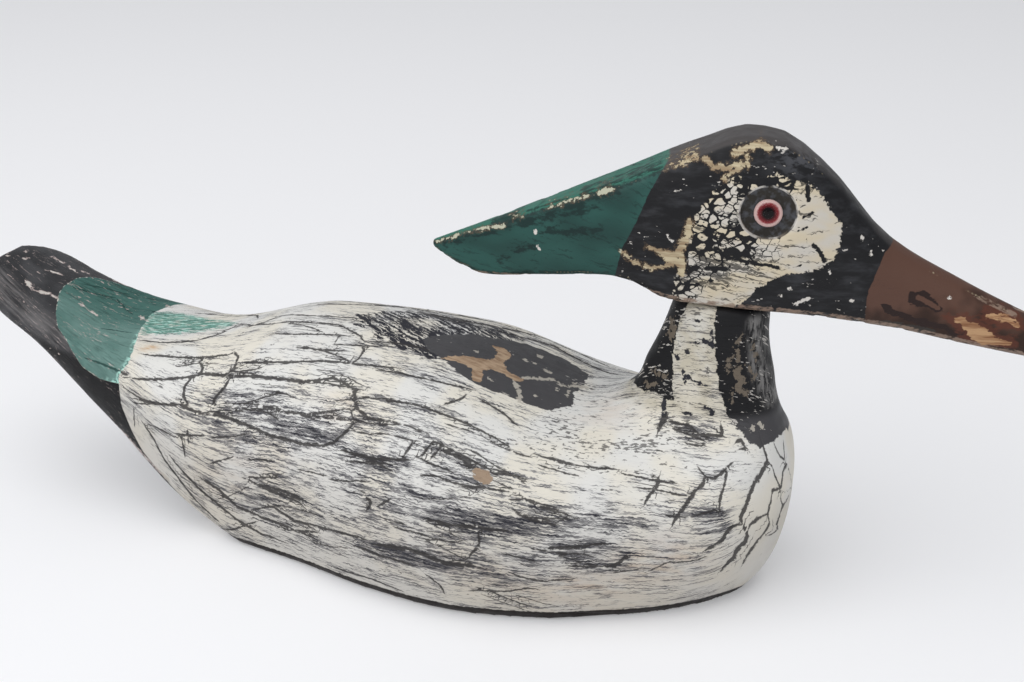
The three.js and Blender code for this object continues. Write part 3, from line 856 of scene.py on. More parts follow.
def new_material(name):
    """A node material with one Principled shader, and a Mix to write its coats with."""
    made = bpy.data.materials.new(name)
    made.use_nodes = True
    tree = made.node_tree
    tree.nodes.clear()
    shader = tree.nodes.new("ShaderNodeBsdfPrincipled")
    output = tree.nodes.new("ShaderNodeOutputMaterial")
    tree.links.new(shader.outputs[0], output.inputs[0])
    return made, Mix(tree), shader


def finish_paint(mix, shader, colour, roughness, height):
    """Joins a finished paint to its shader. Height is in millimetres."""
    bump = mix.add("ShaderNodeBump", {"Height": height, "Distance": MM, "Strength": RELIEF_STRENGTH})
    mix.feed(shader, {"Base Color": colour, "Roughness": roughness, "Normal": bump,
                      "Specular IOR Level": PAINT_GLOSS})


body_paint, mix, shader = new_material("painted_body")
place = mix.place()
grain_way = mix.way("grain_way")
long_place = mix.stretch(grain_way, (0.4, 1.0, 1.0))
torn = mix.torn(place, 2.4)
torn_long = mix.torn(long_place, 2.8)

worn = mix.group(dry_strokes, {"Grain way": grain_way, "Cover": "strokes", "Length": 16.0,
                               "Width": 1.2, "Soft": 0.012})
worn_thin, worn_deep = worn.node.outputs["Thin"], worn.node.outputs["Deep"]
fine = mix.group(dry_strokes, {"Grain way": grain_way, "Cover": "strokes", "Length": 9.0,
                               "Width": 0.8, "Soft": 0.02})
slash_way = mix.add("ShaderNodeMapping", {"Vector": grain_way, "Rotation": (0.0, 0.0, -0.5)})
slashes = mix.group(dry_strokes, {"Grain way": slash_way, "Cover": 0.76, "Length": 12.0, "Width": 1.5})
slashed = mix.times(slashes, mix.edge("back_mix", torn_long, 14.0))
off_line = mix.math("ABSOLUTE", mix.plus("crack_across", mix.times(torn, CRACK_WANDER)))
half = mix.times("crack_half", mix.step(mix.clouds(place, 3.0, 3.0, 0.65), 0.3, 0.65, 0.6, 1.45))
crack = mix.times(mix.step(mix.less(half, off_line), -0.3, 0.25),
                  mix.step(mix.less(mix.plus(half, 3.0), "crack_near"), 0.0, 0.6),
                  mix.step(half, 0.1, 0.25))
chipped = mix.group(chips, {"Place": long_place, "Size": CHIP_SIZE, "Cover": "chip_cover"})

# White over black, greyed towards the foot of the flanks by painted shade
white = mix.layer(mix.step(mix.clouds(place, 30.0, 1.0), 0.4, 0.6), WHITE, CREAM)
stained = mix.times("stain", mix.step(mix.clouds(long_place, 7.0), 0.3, 0.65))
aged_neck = mix.times("neck", mix.step(mix.clouds(place, 8.0), 0.25, 0.65, 0.4, 1.0))
white = mix.coats(white, (worn_thin, 0.6, VEIL), (stained, 1, STAIN_TAN), ("lower_flank_shade", 0.5, LOWER_FLANK_SHADE_GREY),
                  (aged_neck, 1, NECK_CREAM), (fine, 0.72, STROKE_GREY))
worn_tone = mix.layer(worn_deep, STROKE_GREY, CHARCOAL)
colour = mix.coats(white, (mix.times(worn, mix.plus(0.7, mix.times(fine, 0.3))), 1, worn_tone),
                   (mix.most(slashed, mix.edge("neck_dark", torn, 3.0)), 1, CHARCOAL),
                   (chipped, 0.75, CRACK_TONE), (crack, 0.92, CRACK_TONE))

# The black patch on the back and the black of the neck, with pale chips
black = mix.most(mix.edge("back_patch", torn_long, 6.0), mix.edge("neck_black", torn, 3.6))
black_tone = mix.layer(mix.step(mix.clouds(place, 9.0), 0.35, 0.7, 0.0, 0.6), BACK_BLACK, TAIL_GREY)
black_tone = mix.coats(black_tone, ("neck", 0.95, NECK_BLACK), (chipped, 0.8, PALE_GROUND))
colour = mix.layer(black, colour, black_tone)

# Teal over the rump, scumbled where it meets the white
wisps = mix.torn(mix.stretch(grain_way, (0.12, 0.45, 1.0)), 1.0)
scumble = mix.times(mix.edge("teal_scumble", wisps, 26.0), mix.step(wisps, 0.14, 0.05))
scumble_tone = mix.layer(mix.step(torn_long, 0.0, 0.1), TEAL_SCUMBLED, TEAL_PALE)
colour = mix.coats(colour, (scumble, 0.95, scumble_tone), (mix.times(scumble, fine), 0.8, TEAL_DARK))
sheen = mix.times(mix.step("lower_teal", 0.0, 1.0), mix.step(mix.clouds(place, 12.0), 0.3, 0.6, 0.5, 1.0))
streaked = mix.times(mix.most(worn, fine), mix.step("lower_teal", 0.0, 1.0, 0.75, 0.3))
frayed = mix.times(mix.step("teal_band", 3.2, 0.2), mix.step(torn, -0.02, 0.06),
                   mix.step("white_side", 0.0, 1.0))
teal = mix.coats(TEAL, (sheen, 1, TEAL_SHEEN), (mix.most(streaked, mix.times(crack, 0.9)), 1, TEAL_DARK),
                 (chipped, 1, CHIP_PINK), (frayed, 1, TEAL_PALE))
teal_edge = mix.edge("teal_band", torn, 2.4)
colour = mix.layer(teal_edge, colour, teal)

# Charcoal tail: its sides near black, partly black paint and partly painted shade, and a band that is
# partly rubbed grey and partly painted sheen
# painted shade: the tail's sides darkened to near black
deeper = mix.most("tail_side", mix.times(mix.step(mix.clouds(place, 16.0), 0.35, 0.65), 0.5))
# painted sheen, with pink rub marks: the grey band along the tail's top
rubbed_grey_and_sheen = mix.times(mix.rest(mix.most("tail_side", "end_grain")), mix.step("scrape_and_sheen", -6.0, 2.0),
                        mix.step(mix.clouds(long_place, 6.0, 3.0), 0.3, 0.7))
tail = mix.coats(TAIL_GREY, (deeper, 1, TAIL_SIDE_BLACK_AND_SHADE), (rubbed_grey_and_sheen, 0.85, TAIL_SHEEN),
                 (mix.times(rubbed_grey_and_sheen, mix.step(torn_long, 0.1, 0.16)), 1, CHIP_PINK),
                 (chipped, 1, CHIP_PINK))
tail_edge = mix.edge("tail_black", torn, 1.2)
colour = mix.layer(tail_edge, colour, tail)

# Single chips, a painted sheen down the neck's front edge, the bare wood on the back, the knot's stain, the
# dark foot band, partly dark paint and partly painted shade, and the underside
dark_end = mix.most(tail_edge, teal_edge)
upright = mix.torn(mix.stretch(place, (1.0, 1.0, 0.3)), 2.0)
# painted sheen down the neck's front edge, broken into upright smears
neck_sheen = mix.times(mix.step("neck_sheen_streak", -2.0, 3.0), mix.step(upright, -0.12, 0.1))
bared = mix.edge("bare", torn, 4.0)
under_wood = mix.layer(mix.clouds(mix.stretch(place, (0.02, 0.3, 0.3)), 1.0), UNDER_BROWN, FOOT_BROWN)
colour = mix.coats(
    colour, (mix.edge("pale", torn, 6.0), 0.85, mix.layer(dark_end, PATCH_LINE, CHIP_PINK)),
    (mix.times(dark_end, mix.edge("pale_core", torn, 6.0)), 1, PALE_GROUND),
    (neck_sheen, 0.75, NECK_SHEEN_GREY), (mix.edge("neck_pale", torn, 10.0), 0.85, NECK_WORN),
    (bared, 1, mix.group(bare_wood, {"Place": place})), (mix.edge("brown_spot", torn, 4.0), 1, SPOT_BROWN),
    (mix.edge("foot_band_and_shade", torn, 2.0), 1, FOOT_BROWN), ("underside", 1, under_wood))

fibres = mix.clouds(mix.stretch(grain_way, (0.06, 0.9, 1.0)), 1.0, 2.0, flat=True)
height = mix.plus(mix.times(mix.most(worn, crack), -0.14), mix.times(fibres, mix.rest("end_grain"), 0.12),
                  mix.times(mix.clouds(place, 1.8, 1.0), 0.05))
rough = mix.plus(mix.step(mix.clouds(place, 6.0, 1.0), 0.3, 0.7, PAINT_ROUGHNESS - ROUGHNESS_SPREAD,
                          PAINT_ROUGHNESS + ROUGHNESS_SPREAD),
                 mix.times(mix.most(bared, crack), 0.2), mix.times(tail_edge, -0.1))
finish_paint(mix, shader, colour, rough, height)
body.data.materials.append(body_paint)
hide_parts("body")
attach(body, "root")

# Head. A second board of softwood, sawn to the profile of crest, crown and bill, thinned to both ends
# and left with crisp arrises. It is glued down on the neck's top. The recesses for the eyes are
# drilled in, and the paint has chipped to bare wood along the arrises.
HEAD_SQUARE = 0.85 * MM
HEAD_SANDING = 9
HEAD_PLACE = np.array([103.0, 0.0, 144.0])
HEAD_TURN = math.radians(10.8)
HEAD_ALONG = np.array([math.cos(HEAD_TURN), math.sin(HEAD_TURN), 0.0])
HEAD_ACROSS = np.array([-math.sin(HEAD_TURN), math.cos(HEAD_TURN), 0.0])
LEFT_HEAD_SHIFT = [3.0, -0.8]
EYE_MIDDLE = [21.0, 51.5]
RECESS_RADIUS = 12.0
RECESS_STRETCH = [1.06, 1.0]
ARRIS_ANGLE = math.radians(28)
JAW_HEIGHT = 12.0

# Paint outlines on the head, as [distance along it, height on it] seen from the side
CREST_TEAL = [[-140, 0], [-45, 5], [-45, 17], [-42, 31], [-36, 44], [-31, 57], [-25, 68], [-21, 72],
              [-18, 90], [-140, 60]]
FACE_WHITE = [[1, 65], [6, 67], [14, 66], [24, 68], [30, 66], [39, 63], [44, 58], [48, 52], [53, 46],
              [53, 39], [51, 32], [46, 27], [38, 25], [29, 23.5], [19, 17], [13, 10], [9, 6], [8, 0],
              [-20, 0], [-18, 20], [-13, 27], [-14, 40], [-10, 49], [-6, 56]]
BILL_BROWN = [[78, 50], [77, 35], [73, 32], [70, 25], [67, 16], [66.5, 7], [67, 1], [67, -12],
              [190, -40], [190, 30]]
BILL_LOOP = [[84, 10], [85, 15], [92, 15], [96, 11], [101, 6], [96, 6.5], [91, 8]]
BILL_SLOT = ([[89, 12.5], [94, 10], [98, 7.5]], 1.1)
BILL_CHIP = ([[75, 8], [79, 5], [84, 3], [89, 1], [97, -1], [102, -2], [106, -5], [115, -6.5]], 1.5)
BILL_GREY = ([[75, -1], [83, -3], [95, -5]], 2.6)
BILL_BARE = [[105, 3.5], [109, 3], [113, 1], [119, -1], [125, -5], [132, -9], [120, -10.5], [115, -7],
             [110, -1.5]]
BILL_STREAK = ([[120, 4], [127, 3], [134, 0.5]], 1.2)
HEAD_BARE = [([[-129, 24], [-122, 27], [-115, 30], [-106, 33], [-97, 35]], 0.7),
             ([[-95, 39], [-88, 41]], 1.0), ([[-77, 46], [-71, 48], [-66, 50], [-58, 53]], 0.9),
             ([[-53, 55], [-48, 57]], 1.5),
             ([[-13, 46], [-13, 41], [-15, 36], [-17, 32], [-15, 27], [-15, 22]], 1.5),
             ([[-17, 31], [-24, 31], [-30, 33]], 1.0), ([[-42, 29], [-37, 25], [-29, 23], [-18, 26]], 0.7),
             ([[-23, 30], [-17, 27]], 2.2), ([[-24, 68.5], [-18, 71]], 1.1),
             ([[-17, 71.5], [-11, 74]], 1.8),
             ([[-8, 73], [-4, 70], [2, 70], [8, 72], [11, 71]], 1.0),
             ([[5, 76], [10, 78], [16, 81], [20, 78]], 1.5), ([[10, 78], [11, 72], [4, 68], [1, 65]], 0.9)]
CREST_SMUDGES = [([[-89, 37], [-80, 40], [-72, 44], [-62, 49]], 1.4),
                 ([[-79, 35], [-66, 35.5], [-52, 38]], 1.3), ([[-99, 18], [-91, 23], [-82, 28]], 1.0),
                 ([[-60, 52], [-52, 54], [-46, 57]], 2.2), ([[-101, 36], [-92, 40]], 1.8),
                 ([[-47, 59], [-38, 63], [-27, 67]], 0.3), ([[-125, 23], [-112, 28], [-99, 32]], 0.4),
                 ([[-72, 42], [-62, 46], [-54, 49]], 1.0), ([[-100, 34], [-92, 37]], 1.4)]
WHITE_CHIPS = [([[23, 79], [28, 78]], 0.8), ([[39, 73], [42, 70]], 0.7), ([[32, 17], [33, 16.5]], 0.7),
               ([[28, 13], [29, 13]], 0.5), ([[35, 9], [41, 12]], 0.8), ([[60, 11], [61, 11.5]], 0.6),
               ([[62, 40], [62.5, 39]], 0.5), ([[66.5, 33.5], [67, 32]], 0.5),
               ([[49, 26], [49.5, 25]], 0.7),
               ([[-22, 39], [-20, 37]], 0.8), ([[-82, 34], [-82, 33]], 0.5), ([[-81, 27], [-80, 26]], 0.45),
               ([[103, 12], [103.5, 12]], 0.6)]
FACE_CRACKS = [([[-1, 35], [4, 31], [13, 29], [20, 28], [27, 27]], 0.85),
               ([[18, 63], [25, 62.5], [30, 62.5], [31, 65]], 0.75), ([[37, 63], [38, 57]], 1.0),
               ([[41, 38], [44, 35], [47, 30]], 0.85), ([[15, 68], [18, 64]], 1.1),
               ([[36, 50], [40, 52]], 0.6), ([[3, 66], [11, 71]], 0.8), ([[-4, 25], [4, 25]], 1.1),
               ([[34, 44], [38, 46]], 0.5)]

# Where the head's paint is broken into plates, worn in strokes, chipped, or greyed on the forehead, partly
# rubbed and partly painted sheen
FACE_PLATES = [([8, 64], [16, 7], 0.18), ([30, 66], [16, 5], 0.1), ([10, 36], [14, 9], 0.12),
               ([6, 8], [14, 11], -0.2)]
FACE_WEAR = [([8, 22], [20, 8], 0.22), ([-4, 34], [12, 16], 0.2), ([0, 18], [14, 9], 0.2)]
HEAD_CHIPS = [([40, 8], [22, 5], 0.08), ([-20, 50], [12, 20], 0.08)]
FOREHEAD_RUB_AND_SHEEN = [([34, 74], [13, 7], 1.0)]


def in_head(places):
    """Places in the model, in millimetres, as distance along, across and up the head."""
    off = places - HEAD_PLACE
    return np.stack([off @ HEAD_ALONG, off @ HEAD_ACROSS, off[:, 2]], axis=1)


def arris_distance(node, places, kept):
    """Millimetres from each place to the nearest sharp edge of a CAD piece that kept() allows."""
    solid = merged(node)
    solid.normal_update()
    ends = [[corner.co / MM for corner in edge.verts] for edge in solid.edges
            if len(edge.link_faces) == 2 and edge.calc_face_angle() > ARRIS_ANGLE]
    solid.free()
    spots = [start.lerp(end, share) for start, end in ends for share in (0.0, 0.25, 0.5, 0.75)]
    spots = [spot for spot in spots if kept(in_head(np.array([spot]))[0])]
    tree = kdtree.KDTree(len(spots))
    for index, spot in enumerate(spots):
        tree.insert(spot, index)
    tree.balance()
    return np.array([tree.find(place)[2] for place in places])


head = even_skin("head", "decoy_head", HEAD_SQUARE)
sand(head, HEAD_SANDING, lambda place: False)
head_mm = points_of(head.data)
head_out = normals_of(head.data)
head_place = in_head(head_mm)
head_side = head_place[:, [0, 2]]
worn_side = head_side - (head_place[:, 1] > 0)[:, None] * np.array(LEFT_HEAD_SHIFT)
from_eye = np.hypot(*(head_side - EYE_MIDDLE).T)
arris = arris_distance("head", head_mm, lambda spot: math.hypot(
    spot[0] - EYE_MIDDLE[0], spot[2] - EYE_MIDDLE[1]) > RECESS_RADIUS + 2)
crown_top = smooth_step(head_out[:, 2], 0.55, 0.85)
face_cracks = near(worn_side, *FACE_CRACKS)
head_bare = near(worn_side, *HEAD_BARE) - 1.3 * crown_top
# Painted light on the recess's wall, strongest on its lower half
recess_wall_light = smooth_step(-np.abs(head_out @ HEAD_ACROSS), -0.75, -0.4) * smooth_step(from_eye, 7, 9) * (
    0.35 + 0.65 * smooth_step(EYE_MIDDLE[1] - head_side[:, 1], -4, 5))
jaw = 1.6 - arris - 4 * np.clip(-head_out[:, 2] - 0.8, 0, 1)
marbled = 0.13 * (1 - smooth_step(head_side[:, 0], -14, 18)) + swells(head_side, FACE_PLATES)
for name, values in {
        "crest": inside(head_side, CREST_TEAL), "face": inside(head_side, FACE_WHITE),
        "bill": inside(head_side, BILL_BROWN), "bill_slot": near(worn_side, BILL_SLOT),
        "bill_dark": np.maximum(inside(worn_side, BILL_LOOP), near(worn_side, BILL_CHIP)),
        "bill_grey": near(worn_side, BILL_GREY),
        "bill_bare": np.maximum(inside(worn_side, BILL_BARE), near(worn_side, BILL_STREAK)),
        "head_bare": head_bare, "smudge": near(worn_side, *CREST_SMUDGES), "face_crack": face_cracks,
        "white_chip": near(worn_side, *WHITE_CHIPS) - 1.5 * crown_top,
        "jaw": np.where(head_place[:, 2] < JAW_HEIGHT, jaw, NOT_HERE),
        "marbled": np.where(marbled > 0.02, marbled, -0.12),
        "in_recess": RECESS_RADIUS - np.hypot(*((head_side - EYE_MIDDLE) / RECESS_STRETCH).T),
        "recess_wall_light": recess_wall_light, "arris": arris, "crown_top": crown_top,
        "head_strokes": 0.34 + 0.04 * (head_side[:, 0] < -20) + swells(head_side, FACE_WEAR),
        "head_chips": 0.24 + swells(head_side, HEAD_CHIPS), "head_rise": head_place[:, 2],
        "forehead_rub_and_sheen": swells(worn_side, FOREHEAD_RUB_AND_SHEEN), "head_way": head_place,
        "head_grain": np.stack([head_place[:, 0] * 0.9 + head_place[:, 2] * 0.3,
                                head_place[:, 2] + head_place[:, 0] * 0.12 + np.abs(head_place[:, 1]) * 0.6,
                                np.zeros(len(head_place))], axis=1)}.items():
    mark(head, name, values)

HEAD_WAVE = 26.0
HEAD_WAVE_DEPTH = 0.22
ARRIS_CHIP_DEPTH = 0.4
HEAD_BARE_DEPTH = 0.28
FACE_CRACK_DEPTH = 0.25
outside_recess = smooth_step(from_eye, RECESS_RADIUS + 0.6, RECESS_RADIUS + 3)
head_hollow = HEAD_WAVE_DEPTH * waves(head_place, [HEAD_WAVE * 1.8, HEAD_WAVE, HEAD_WAVE], 2, 5.2)
arris_chips = (ARRIS_CHIP_DEPTH * smooth_step(waves(head_place, [9, 9, 9], 3, 21.4), 0.12, 0.5)
               * (1 - smooth_step(arris, 0.8, 2.6)))
head_dent = (HEAD_BARE_DEPTH * np.clip(head_bare / 1.2, 0, 1)
             + FACE_CRACK_DEPTH * np.clip(face_cracks / 0.6, 0, 1))
press(head, (head_hollow + arris_chips + head_dent) * outside_recess)

CREST_GREEN = srgb(44, 81, 75)
CREST_TOP_PAINT_AND_SHEEN = srgb(62, 122, 104)
CREST_DARK = srgb(26, 42, 41)
HEAD_BLACK = srgb(29, 29, 31)
HEAD_GREY = srgb(74, 75, 79)
CROWN_SHEEN_GREY = srgb(88, 84, 83)
RECESS_DARK = srgb(46, 43, 39)
RECESS_WALL_LIGHT = srgb(118, 108, 96)
BILL_PAINT = srgb(90, 65, 55)
BILL_DEEP_AND_SHADE = srgb(52, 37, 31)
BILL_RED = srgb(92, 52, 40)
BILL_DARK = srgb(44, 32, 30)
BILL_GREY_TONE = srgb(56, 53, 50)
FACE_PAINT = srgb(196, 191, 182)
FACE_CREAM = srgb(200, 188, 164)
JAW_WORN = srgb(140, 120, 106)
WOOD_EDGE = srgb(92, 76, 60)
CREST_GROUND = srgb(176, 175, 155)
HEAD_WOOD = srgb(190, 177, 148)
HEAD_WOOD_LINE = srgb(146, 126, 100)
BILL_WOOD = srgb(182, 146, 110)
BILL_WOOD_LINE = srgb(128, 88, 62)
HEAD_ROUGHNESS = 0.36, 0.5
FACE_PLATE = 3.1

head_paint, mix, shader = new_material("painted_head")
place = mix.place()
head_way = mix.way("head_way")
long_place = mix.stretch(head_way, (0.45, 1.0, 1.0))
torn = mix.torn(place, 2.0)
torn_long = mix.torn(long_place, 2.4)
streaks = mix.group(dry_strokes, {"Grain way": mix.way("head_grain"), "Cover": "head_strokes",
                                  "Length": 11.0, "Width": 1.5})
chipped = mix.group(chips, {"Place": long_place, "Size": CHIP_SIZE, "Cover": "head_chips"})

# Black ground, scuffed grey and chipped, with a painted sheen on the crown's top and a grey smear on the
# forehead, partly rubbed paint and partly painted sheen
scuffs = mix.step(mix.clouds(mix.stretch(head_way, (0.06, 0.12, 0.2)), 1.0, 3.0, 0.6), 0.45, 0.75)
# grey on the forehead: partly rubbed paint, partly painted sheen
forehead_rub_and_sheen_mask = mix.times("forehead_rub_and_sheen", mix.step(torn_long, -0.1, 0.1))
colour = mix.coats(HEAD_BLACK, (mix.most(mix.times(scuffs, 0.4), forehead_rub_and_sheen_mask), 1, HEAD_GREY),
                   ("crown_top", 0.6, CROWN_SHEEN_GREY), (chipped, 0.75, PALE_GROUND))

# Teal crest, its top lighter, partly in lighter paint and partly as painted sheen
crest = mix.edge("crest", torn, 1.0)
dark_arris = mix.step(mix.plus("arris", mix.times(torn_long, 5.0)), 1.4, 0.4)
smudged = mix.step(mix.plus("smudge", mix.times(torn_long, 12.0)), -1.2, 1.0)
clouded = mix.step(mix.clouds(long_place, 14.0, 1.0), 0.35, 0.7, 0.0, 0.5)
teal = mix.coats(CREST_GREEN, (clouded, 1, CREST_DARK), ("crown_top", 0.6, CREST_TOP_PAINT_AND_SHEEN),
                 (streaks, 0.45, CREST_DARK), (dark_arris, 0.75, CREST_DARK), (smudged, 0.85, CREST_DARK))
colour = mix.layer(crest, colour, teal)

# White face over the black, broken into small plates towards the back
plates = mix.group(shrunk_net, {"Place": mix.stretch(head_way, (0.8, 0.3, 1.0)), "Plate": FACE_PLATE,
                                "Width": "marbled"})
face_gone = mix.most(plates, mix.times(streaks, 0.8), mix.edge("face_crack", torn, 2.6), chipped)
face_white = mix.layer(mix.step(mix.clouds(long_place, 10.0), 0.36, 0.64), FACE_PAINT, FACE_CREAM)
colour = mix.layer(mix.edge("face", torn, 5.0), colour, mix.layer(face_gone, face_white, HEAD_BLACK))

# Brown bill, darker in clouds and with painted shade towards its lower edge
on_bill = mix.edge("bill", torn, 1.0)
# darker brown in clouds, and painted shade growing towards the bill's lower edge
bill_clouds_and_lower_shade = mix.step(mix.plus(mix.clouds(head_way, 14.0), mix.times("head_rise", -0.02)), 0.22, 0.6)
bill = mix.coats(BILL_PAINT, (bill_clouds_and_lower_shade, 1, BILL_DEEP_AND_SHADE),
                 (mix.edge("bill_grey", torn_long, 8.0), 0.85, BILL_GREY_TONE),
                 (mix.edge("bill_dark", torn_long, 5.0), 1, BILL_DARK),
                 (mix.edge("bill_slot", torn, 1.6), 1, BILL_PAINT))
colour = mix.layer(on_bill, colour, bill)

# Bare wood, knocked chips and rubbed arrises
head_wood = mix.group(bare_wood, {"Place": head_way, "Pale": HEAD_WOOD, "Dark": HEAD_WOOD_LINE})
bill_wood = mix.group(bare_wood, {"Place": head_way, "Pale": BILL_WOOD, "Dark": BILL_WOOD_LINE})
bared_head = mix.edge("head_bare", torn, 6.0)
bared_bill = mix.edge("bill_bare", torn_long, 6.0)
reddened = mix.times(mix.step(mix.plus("bill_bare", mix.times(torn_long, 14.0)), -4.0, -1.0), on_bill)
rubbed = mix.times(mix.step("arris", 0.8, 0.2), mix.step(mix.clouds(long_place, 6.0, 3.0, 0.6), 0.52, 0.6))
worn_jaw = mix.times(mix.step("jaw", -0.3, 0.3), mix.step(torn_long, -0.12, 0.05))
bare_rim = mix.step(mix.plus("head_bare", mix.times(torn, 7.0)), -1.2, -0.2)
colour = mix.coats(colour, (reddened, 0.75, BILL_RED), (rubbed, 0.8, head_wood), (worn_jaw, 0.85, JAW_WORN),
                   (bare_rim, 0.6, WOOD_EDGE), (bared_head, 1, mix.layer(crest, head_wood, CREST_GROUND)),
                   (bared_bill, 1, bill_wood), (mix.edge("white_chip", torn, 4.0), 1, PALE_GROUND))

# The eye's recess, mottled dark, with painted light on its wall, strongest low down, and a broken pale line
# round its edge that is partly chipped paint and partly a painted highlight
recess = mix.layer(mix.step(mix.clouds(place, 3.0), 0.4, 0.7), RECESS_DARK, HEAD_GREY)
lit_recess_wall = mix.times("recess_wall_light", mix.step(torn, -0.15, 0.1))
# painted highlight on the recess's edge, broken like chipped paint
rim_line = mix.times(mix.step(mix.math("ABSOLUTE", mix.plus("in_recess", -0.2)), 0.6, 0.25),
                     mix.step(mix.clouds(place, 7.0, 3.0), 0.42, 0.56))
recess = mix.layer(lit_recess_wall, recess, RECESS_WALL_LIGHT)
colour = mix.coats(colour, (mix.step("in_recess", -0.1, 0.25), 1, recess), (rim_line, 0.7, PALE_GROUND))

height = mix.plus(mix.times(mix.most(bared_head, mix.times(streaks, 0.5)), -0.16),
                  mix.times(mix.clouds(mix.stretch(head_way, (0.06, 0.4, 0.8)), 1.0, 2.0), 0.10),
                  mix.times(mix.clouds(place, 1.6, 1.0), 0.04))
rough = mix.plus(mix.step(mix.clouds(place, 6.0, 1.0), 0.3, 0.7, *HEAD_ROUGHNESS),
                 mix.times(mix.most(bared_head, bared_bill), 0.25))
finish_paint(mix, shader, colour, rough, height)
head.data.materials.append(head_paint)
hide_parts("head")
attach(head, "root")

# Eyes. Each is a low dome of clear glass, glued into its drilled recess over a painted iris: a black
# pupil, a dark red ring and a pale pink rim, which also holds a painted reflection of the glass's edge.
PUPIL = 2.4
IRIS = 4.6
RIM = 6.0
IRIS_LIFT = 0.35
IRIS_FACE = 0.55
EYE_STEPS = 64
DOME_STEPS = 10
GLASS_EDGE = 0.15
GLASS_ROUGHNESS = 0.03
GLASS_INDEX = 1.3
DOME_FOOT = 0.25
PUPIL_BLACK = srgb(12, 7, 8)
IRIS_DEEP = srgb(66, 14, 20)
IRIS_RED = srgb(148, 52, 56)
RIM_PINK_AND_REFLECTION = srgb(230, 196, 190)

glass, mix, shader = new_material("eye_glass")
mix.feed(shader, {"Base Color": srgb(255, 255, 255), "Roughness": GLASS_ROUGHNESS, "IOR": GLASS_INDEX,
                  "Transmission Weight": 1.0})

iris_paint, mix, shader = new_material("eye_iris")
flecked = mix.clouds(mix.place(), 0.8, 3.0)
reddish = mix.step(mix.plus("ring", mix.times(flecked, 0.8)), PUPIL + 0.3, IRIS + 0.4)
# pale pink rim, partly paint and partly a painted reflection of the dome's edge
pale_rim_and_reflection = mix.step(mix.plus("ring", mix.times(flecked, 0.9)), IRIS - 0.1, IRIS + 0.8)
past_pupil = mix.step(mix.plus("ring", mix.times(mix.less(flecked, 0.5), 0.5)), PUPIL - 0.4, PUPIL + 0.5)
iris = mix.coats(IRIS_DEEP, (reddish, 1, IRIS_RED), (pale_rim_and_reflection, 1, RIM_PINK_AND_REFLECTION))
mix.feed(shader, {"Base Color": mix.layer(past_pupil, PUPIL_BLACK, iris), "Specular IOR Level": 0.0,
                  "Roughness": mix.step(flecked, 0.2, 0.8, 0.3, 0.45)})


def turned(name, profile, axis, place, material):
    """A piece turned from a profile of [radius, height] in millimetres, standing on an axis."""
    made = bmesh.new()
    points = [made.verts.new((radius * MM, 0, height * MM)) for radius, height in profile]
    edges = [made.edges.new(pair) for pair in zip(points[:-1], points[1:])]
    bmesh.ops.spin(made, geom=points + edges, cent=(0, 0, 0), axis=(0, 0, 1), angle=2 * math.pi,
                   steps=EYE_STEPS, use_merge=True)
    bmesh.ops.remove_doubles(made, verts=made.verts, dist=DOUBLES / 10)
    bmesh.ops.recalc_face_normals(made, faces=made.faces)
    mesh = bpy.data.meshes.new(name)
    made.to_mesh(mesh)
    made.free()
    mesh.shade_smooth()
    rings = np.hypot(*points_of(mesh)[:, :2].T)
    turn = axis.to_track_quat("Z", "Y").to_matrix().to_4x4()
    turn.translation = place
    mesh.transform(turn)
    mesh.materials.append(material)
    piece = new_object(name, mesh)
    mark(piece, "ring", rings)
    return piece


for eye, side in (("eye_right", -1), ("eye_left", 1)):
    axis = Vector(HEAD_ACROSS) * side
    rise = points_of(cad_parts[eye].data) @ np.array(axis)
    low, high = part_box(eye)
    radius = (high.z - low.z) / 2 / MM
    tall = rise.max() - rise.min()
    foot = tall * DOME_FOOT
    middle = Vector(HEAD_PLACE + EYE_MIDDLE[0] * HEAD_ALONG) * MM
    middle.z = (low.z + high.z) / 2
    middle += axis * (rise.min() * MM - middle.dot(axis))
    dome = [[0, 0], [radius - GLASS_EDGE, 0], [radius, GLASS_EDGE]]
    dome += [[radius * math.cos(turn), foot + (tall - foot) * math.sin(turn)]
             for turn in np.linspace(0, math.pi / 2, DOME_STEPS + 1)]
    dome[-1][0] = 0
    plate = [[0, IRIS_LIFT], [RIM, IRIS_LIFT], [RIM, IRIS_FACE], [IRIS, IRIS_FACE], [PUPIL, IRIS_FACE],
             [0, IRIS_FACE]]
    lens = turned(eye + "_glass", dome, axis, middle, glass)
    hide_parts(eye)
    for piece in (lens, turned(eye + "_iris", plate, axis, middle, iris_paint)):
        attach(piece, "root")

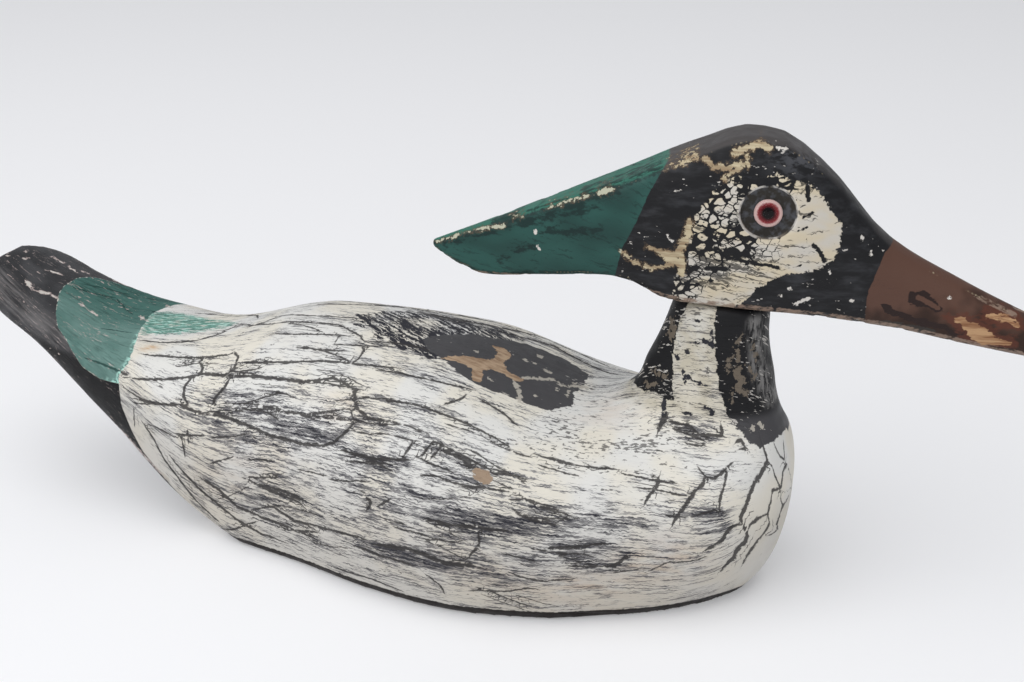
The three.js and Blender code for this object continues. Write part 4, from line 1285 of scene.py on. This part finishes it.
# Setting. The decoy stands on a plain pale floor in soft studio light, seen from its right side and
# a little above.
CAMERA_PLACE = Vector((0.2373, -0.6831, 0.4269))
CAMERA_LOOK = Vector((0.0047, 0.0, 0.1109))
CAMERA_LENS = 57.1
CAMERA_NEAR = 0.01
FLOOR_SIZE = 14.0
FLOOR_GREY = srgb(217, 217, 219)
FLOOR_WHITE = srgb(255, 255, 255)
FLOOR_GLOW = 0.22
FLOOR_ROUGHNESS = 0.75
TENT_GREY = srgb(226, 228, 232)
TENT_GLOW = 0.57
LIGHTS_AIM = Vector((0.0, 0.0, 0.1))

# Square soft lights, each with its place, its side and its watts
SOFT_LIGHTS = {"overhead": (Vector((-0.3, -0.75, 1.8)), 2.2, 27.5),
               "front_left": (Vector((-1.3, -1.6, 1.4)), 2.0, 10.0),
               "front_right": (Vector((1.6, -1.2, 0.9)), 1.2, 3.0)}

flat = bmesh.new()
bmesh.ops.create_grid(flat, x_segments=1, y_segments=1, size=FLOOR_SIZE / 2)
floor = new_object("floor", bpy.data.meshes.new("floor"))
flat.to_mesh(floor.data)
flat.free()
floor_paint, mix, shader = new_material("pale_floor")
mix.feed(shader, {"Base Color": FLOOR_GREY, "Roughness": FLOOR_ROUGHNESS, "Emission Color": FLOOR_WHITE,
                  "Emission Strength": FLOOR_GLOW})
floor.data.materials.append(floor_paint)
floor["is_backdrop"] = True

for name, (place, size, watts) in SOFT_LIGHTS.items():
    lamp = new_object(name, bpy.data.lights.new(name, "AREA"))
    lamp.data.shape = "SQUARE"
    lamp.data.size = size
    lamp.data.energy = watts
    lamp.location = place
    lamp.rotation_euler = (LIGHTS_AIM - place).to_track_quat("-Z", "Y").to_euler()

world = bpy.data.worlds.new("tent")
world.use_nodes = True
tent = world.node_tree.nodes["Background"]
tent.inputs["Color"].default_value = TENT_GREY
tent.inputs["Strength"].default_value = TENT_GLOW
bpy.context.scene.world = world
bpy.context.scene.view_settings.view_transform = "Standard"

camera = new_object("camera", bpy.data.cameras.new("camera"))
camera.data.lens = CAMERA_LENS
camera.data.clip_start = CAMERA_NEAR
camera.location = CAMERA_PLACE
camera.rotation_mode = "QUATERNION"
camera.rotation_quaternion = (CAMERA_LOOK - CAMERA_PLACE).to_track_quat("-Z", "Y")
bpy.context.scene.camera = camera

low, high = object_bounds()
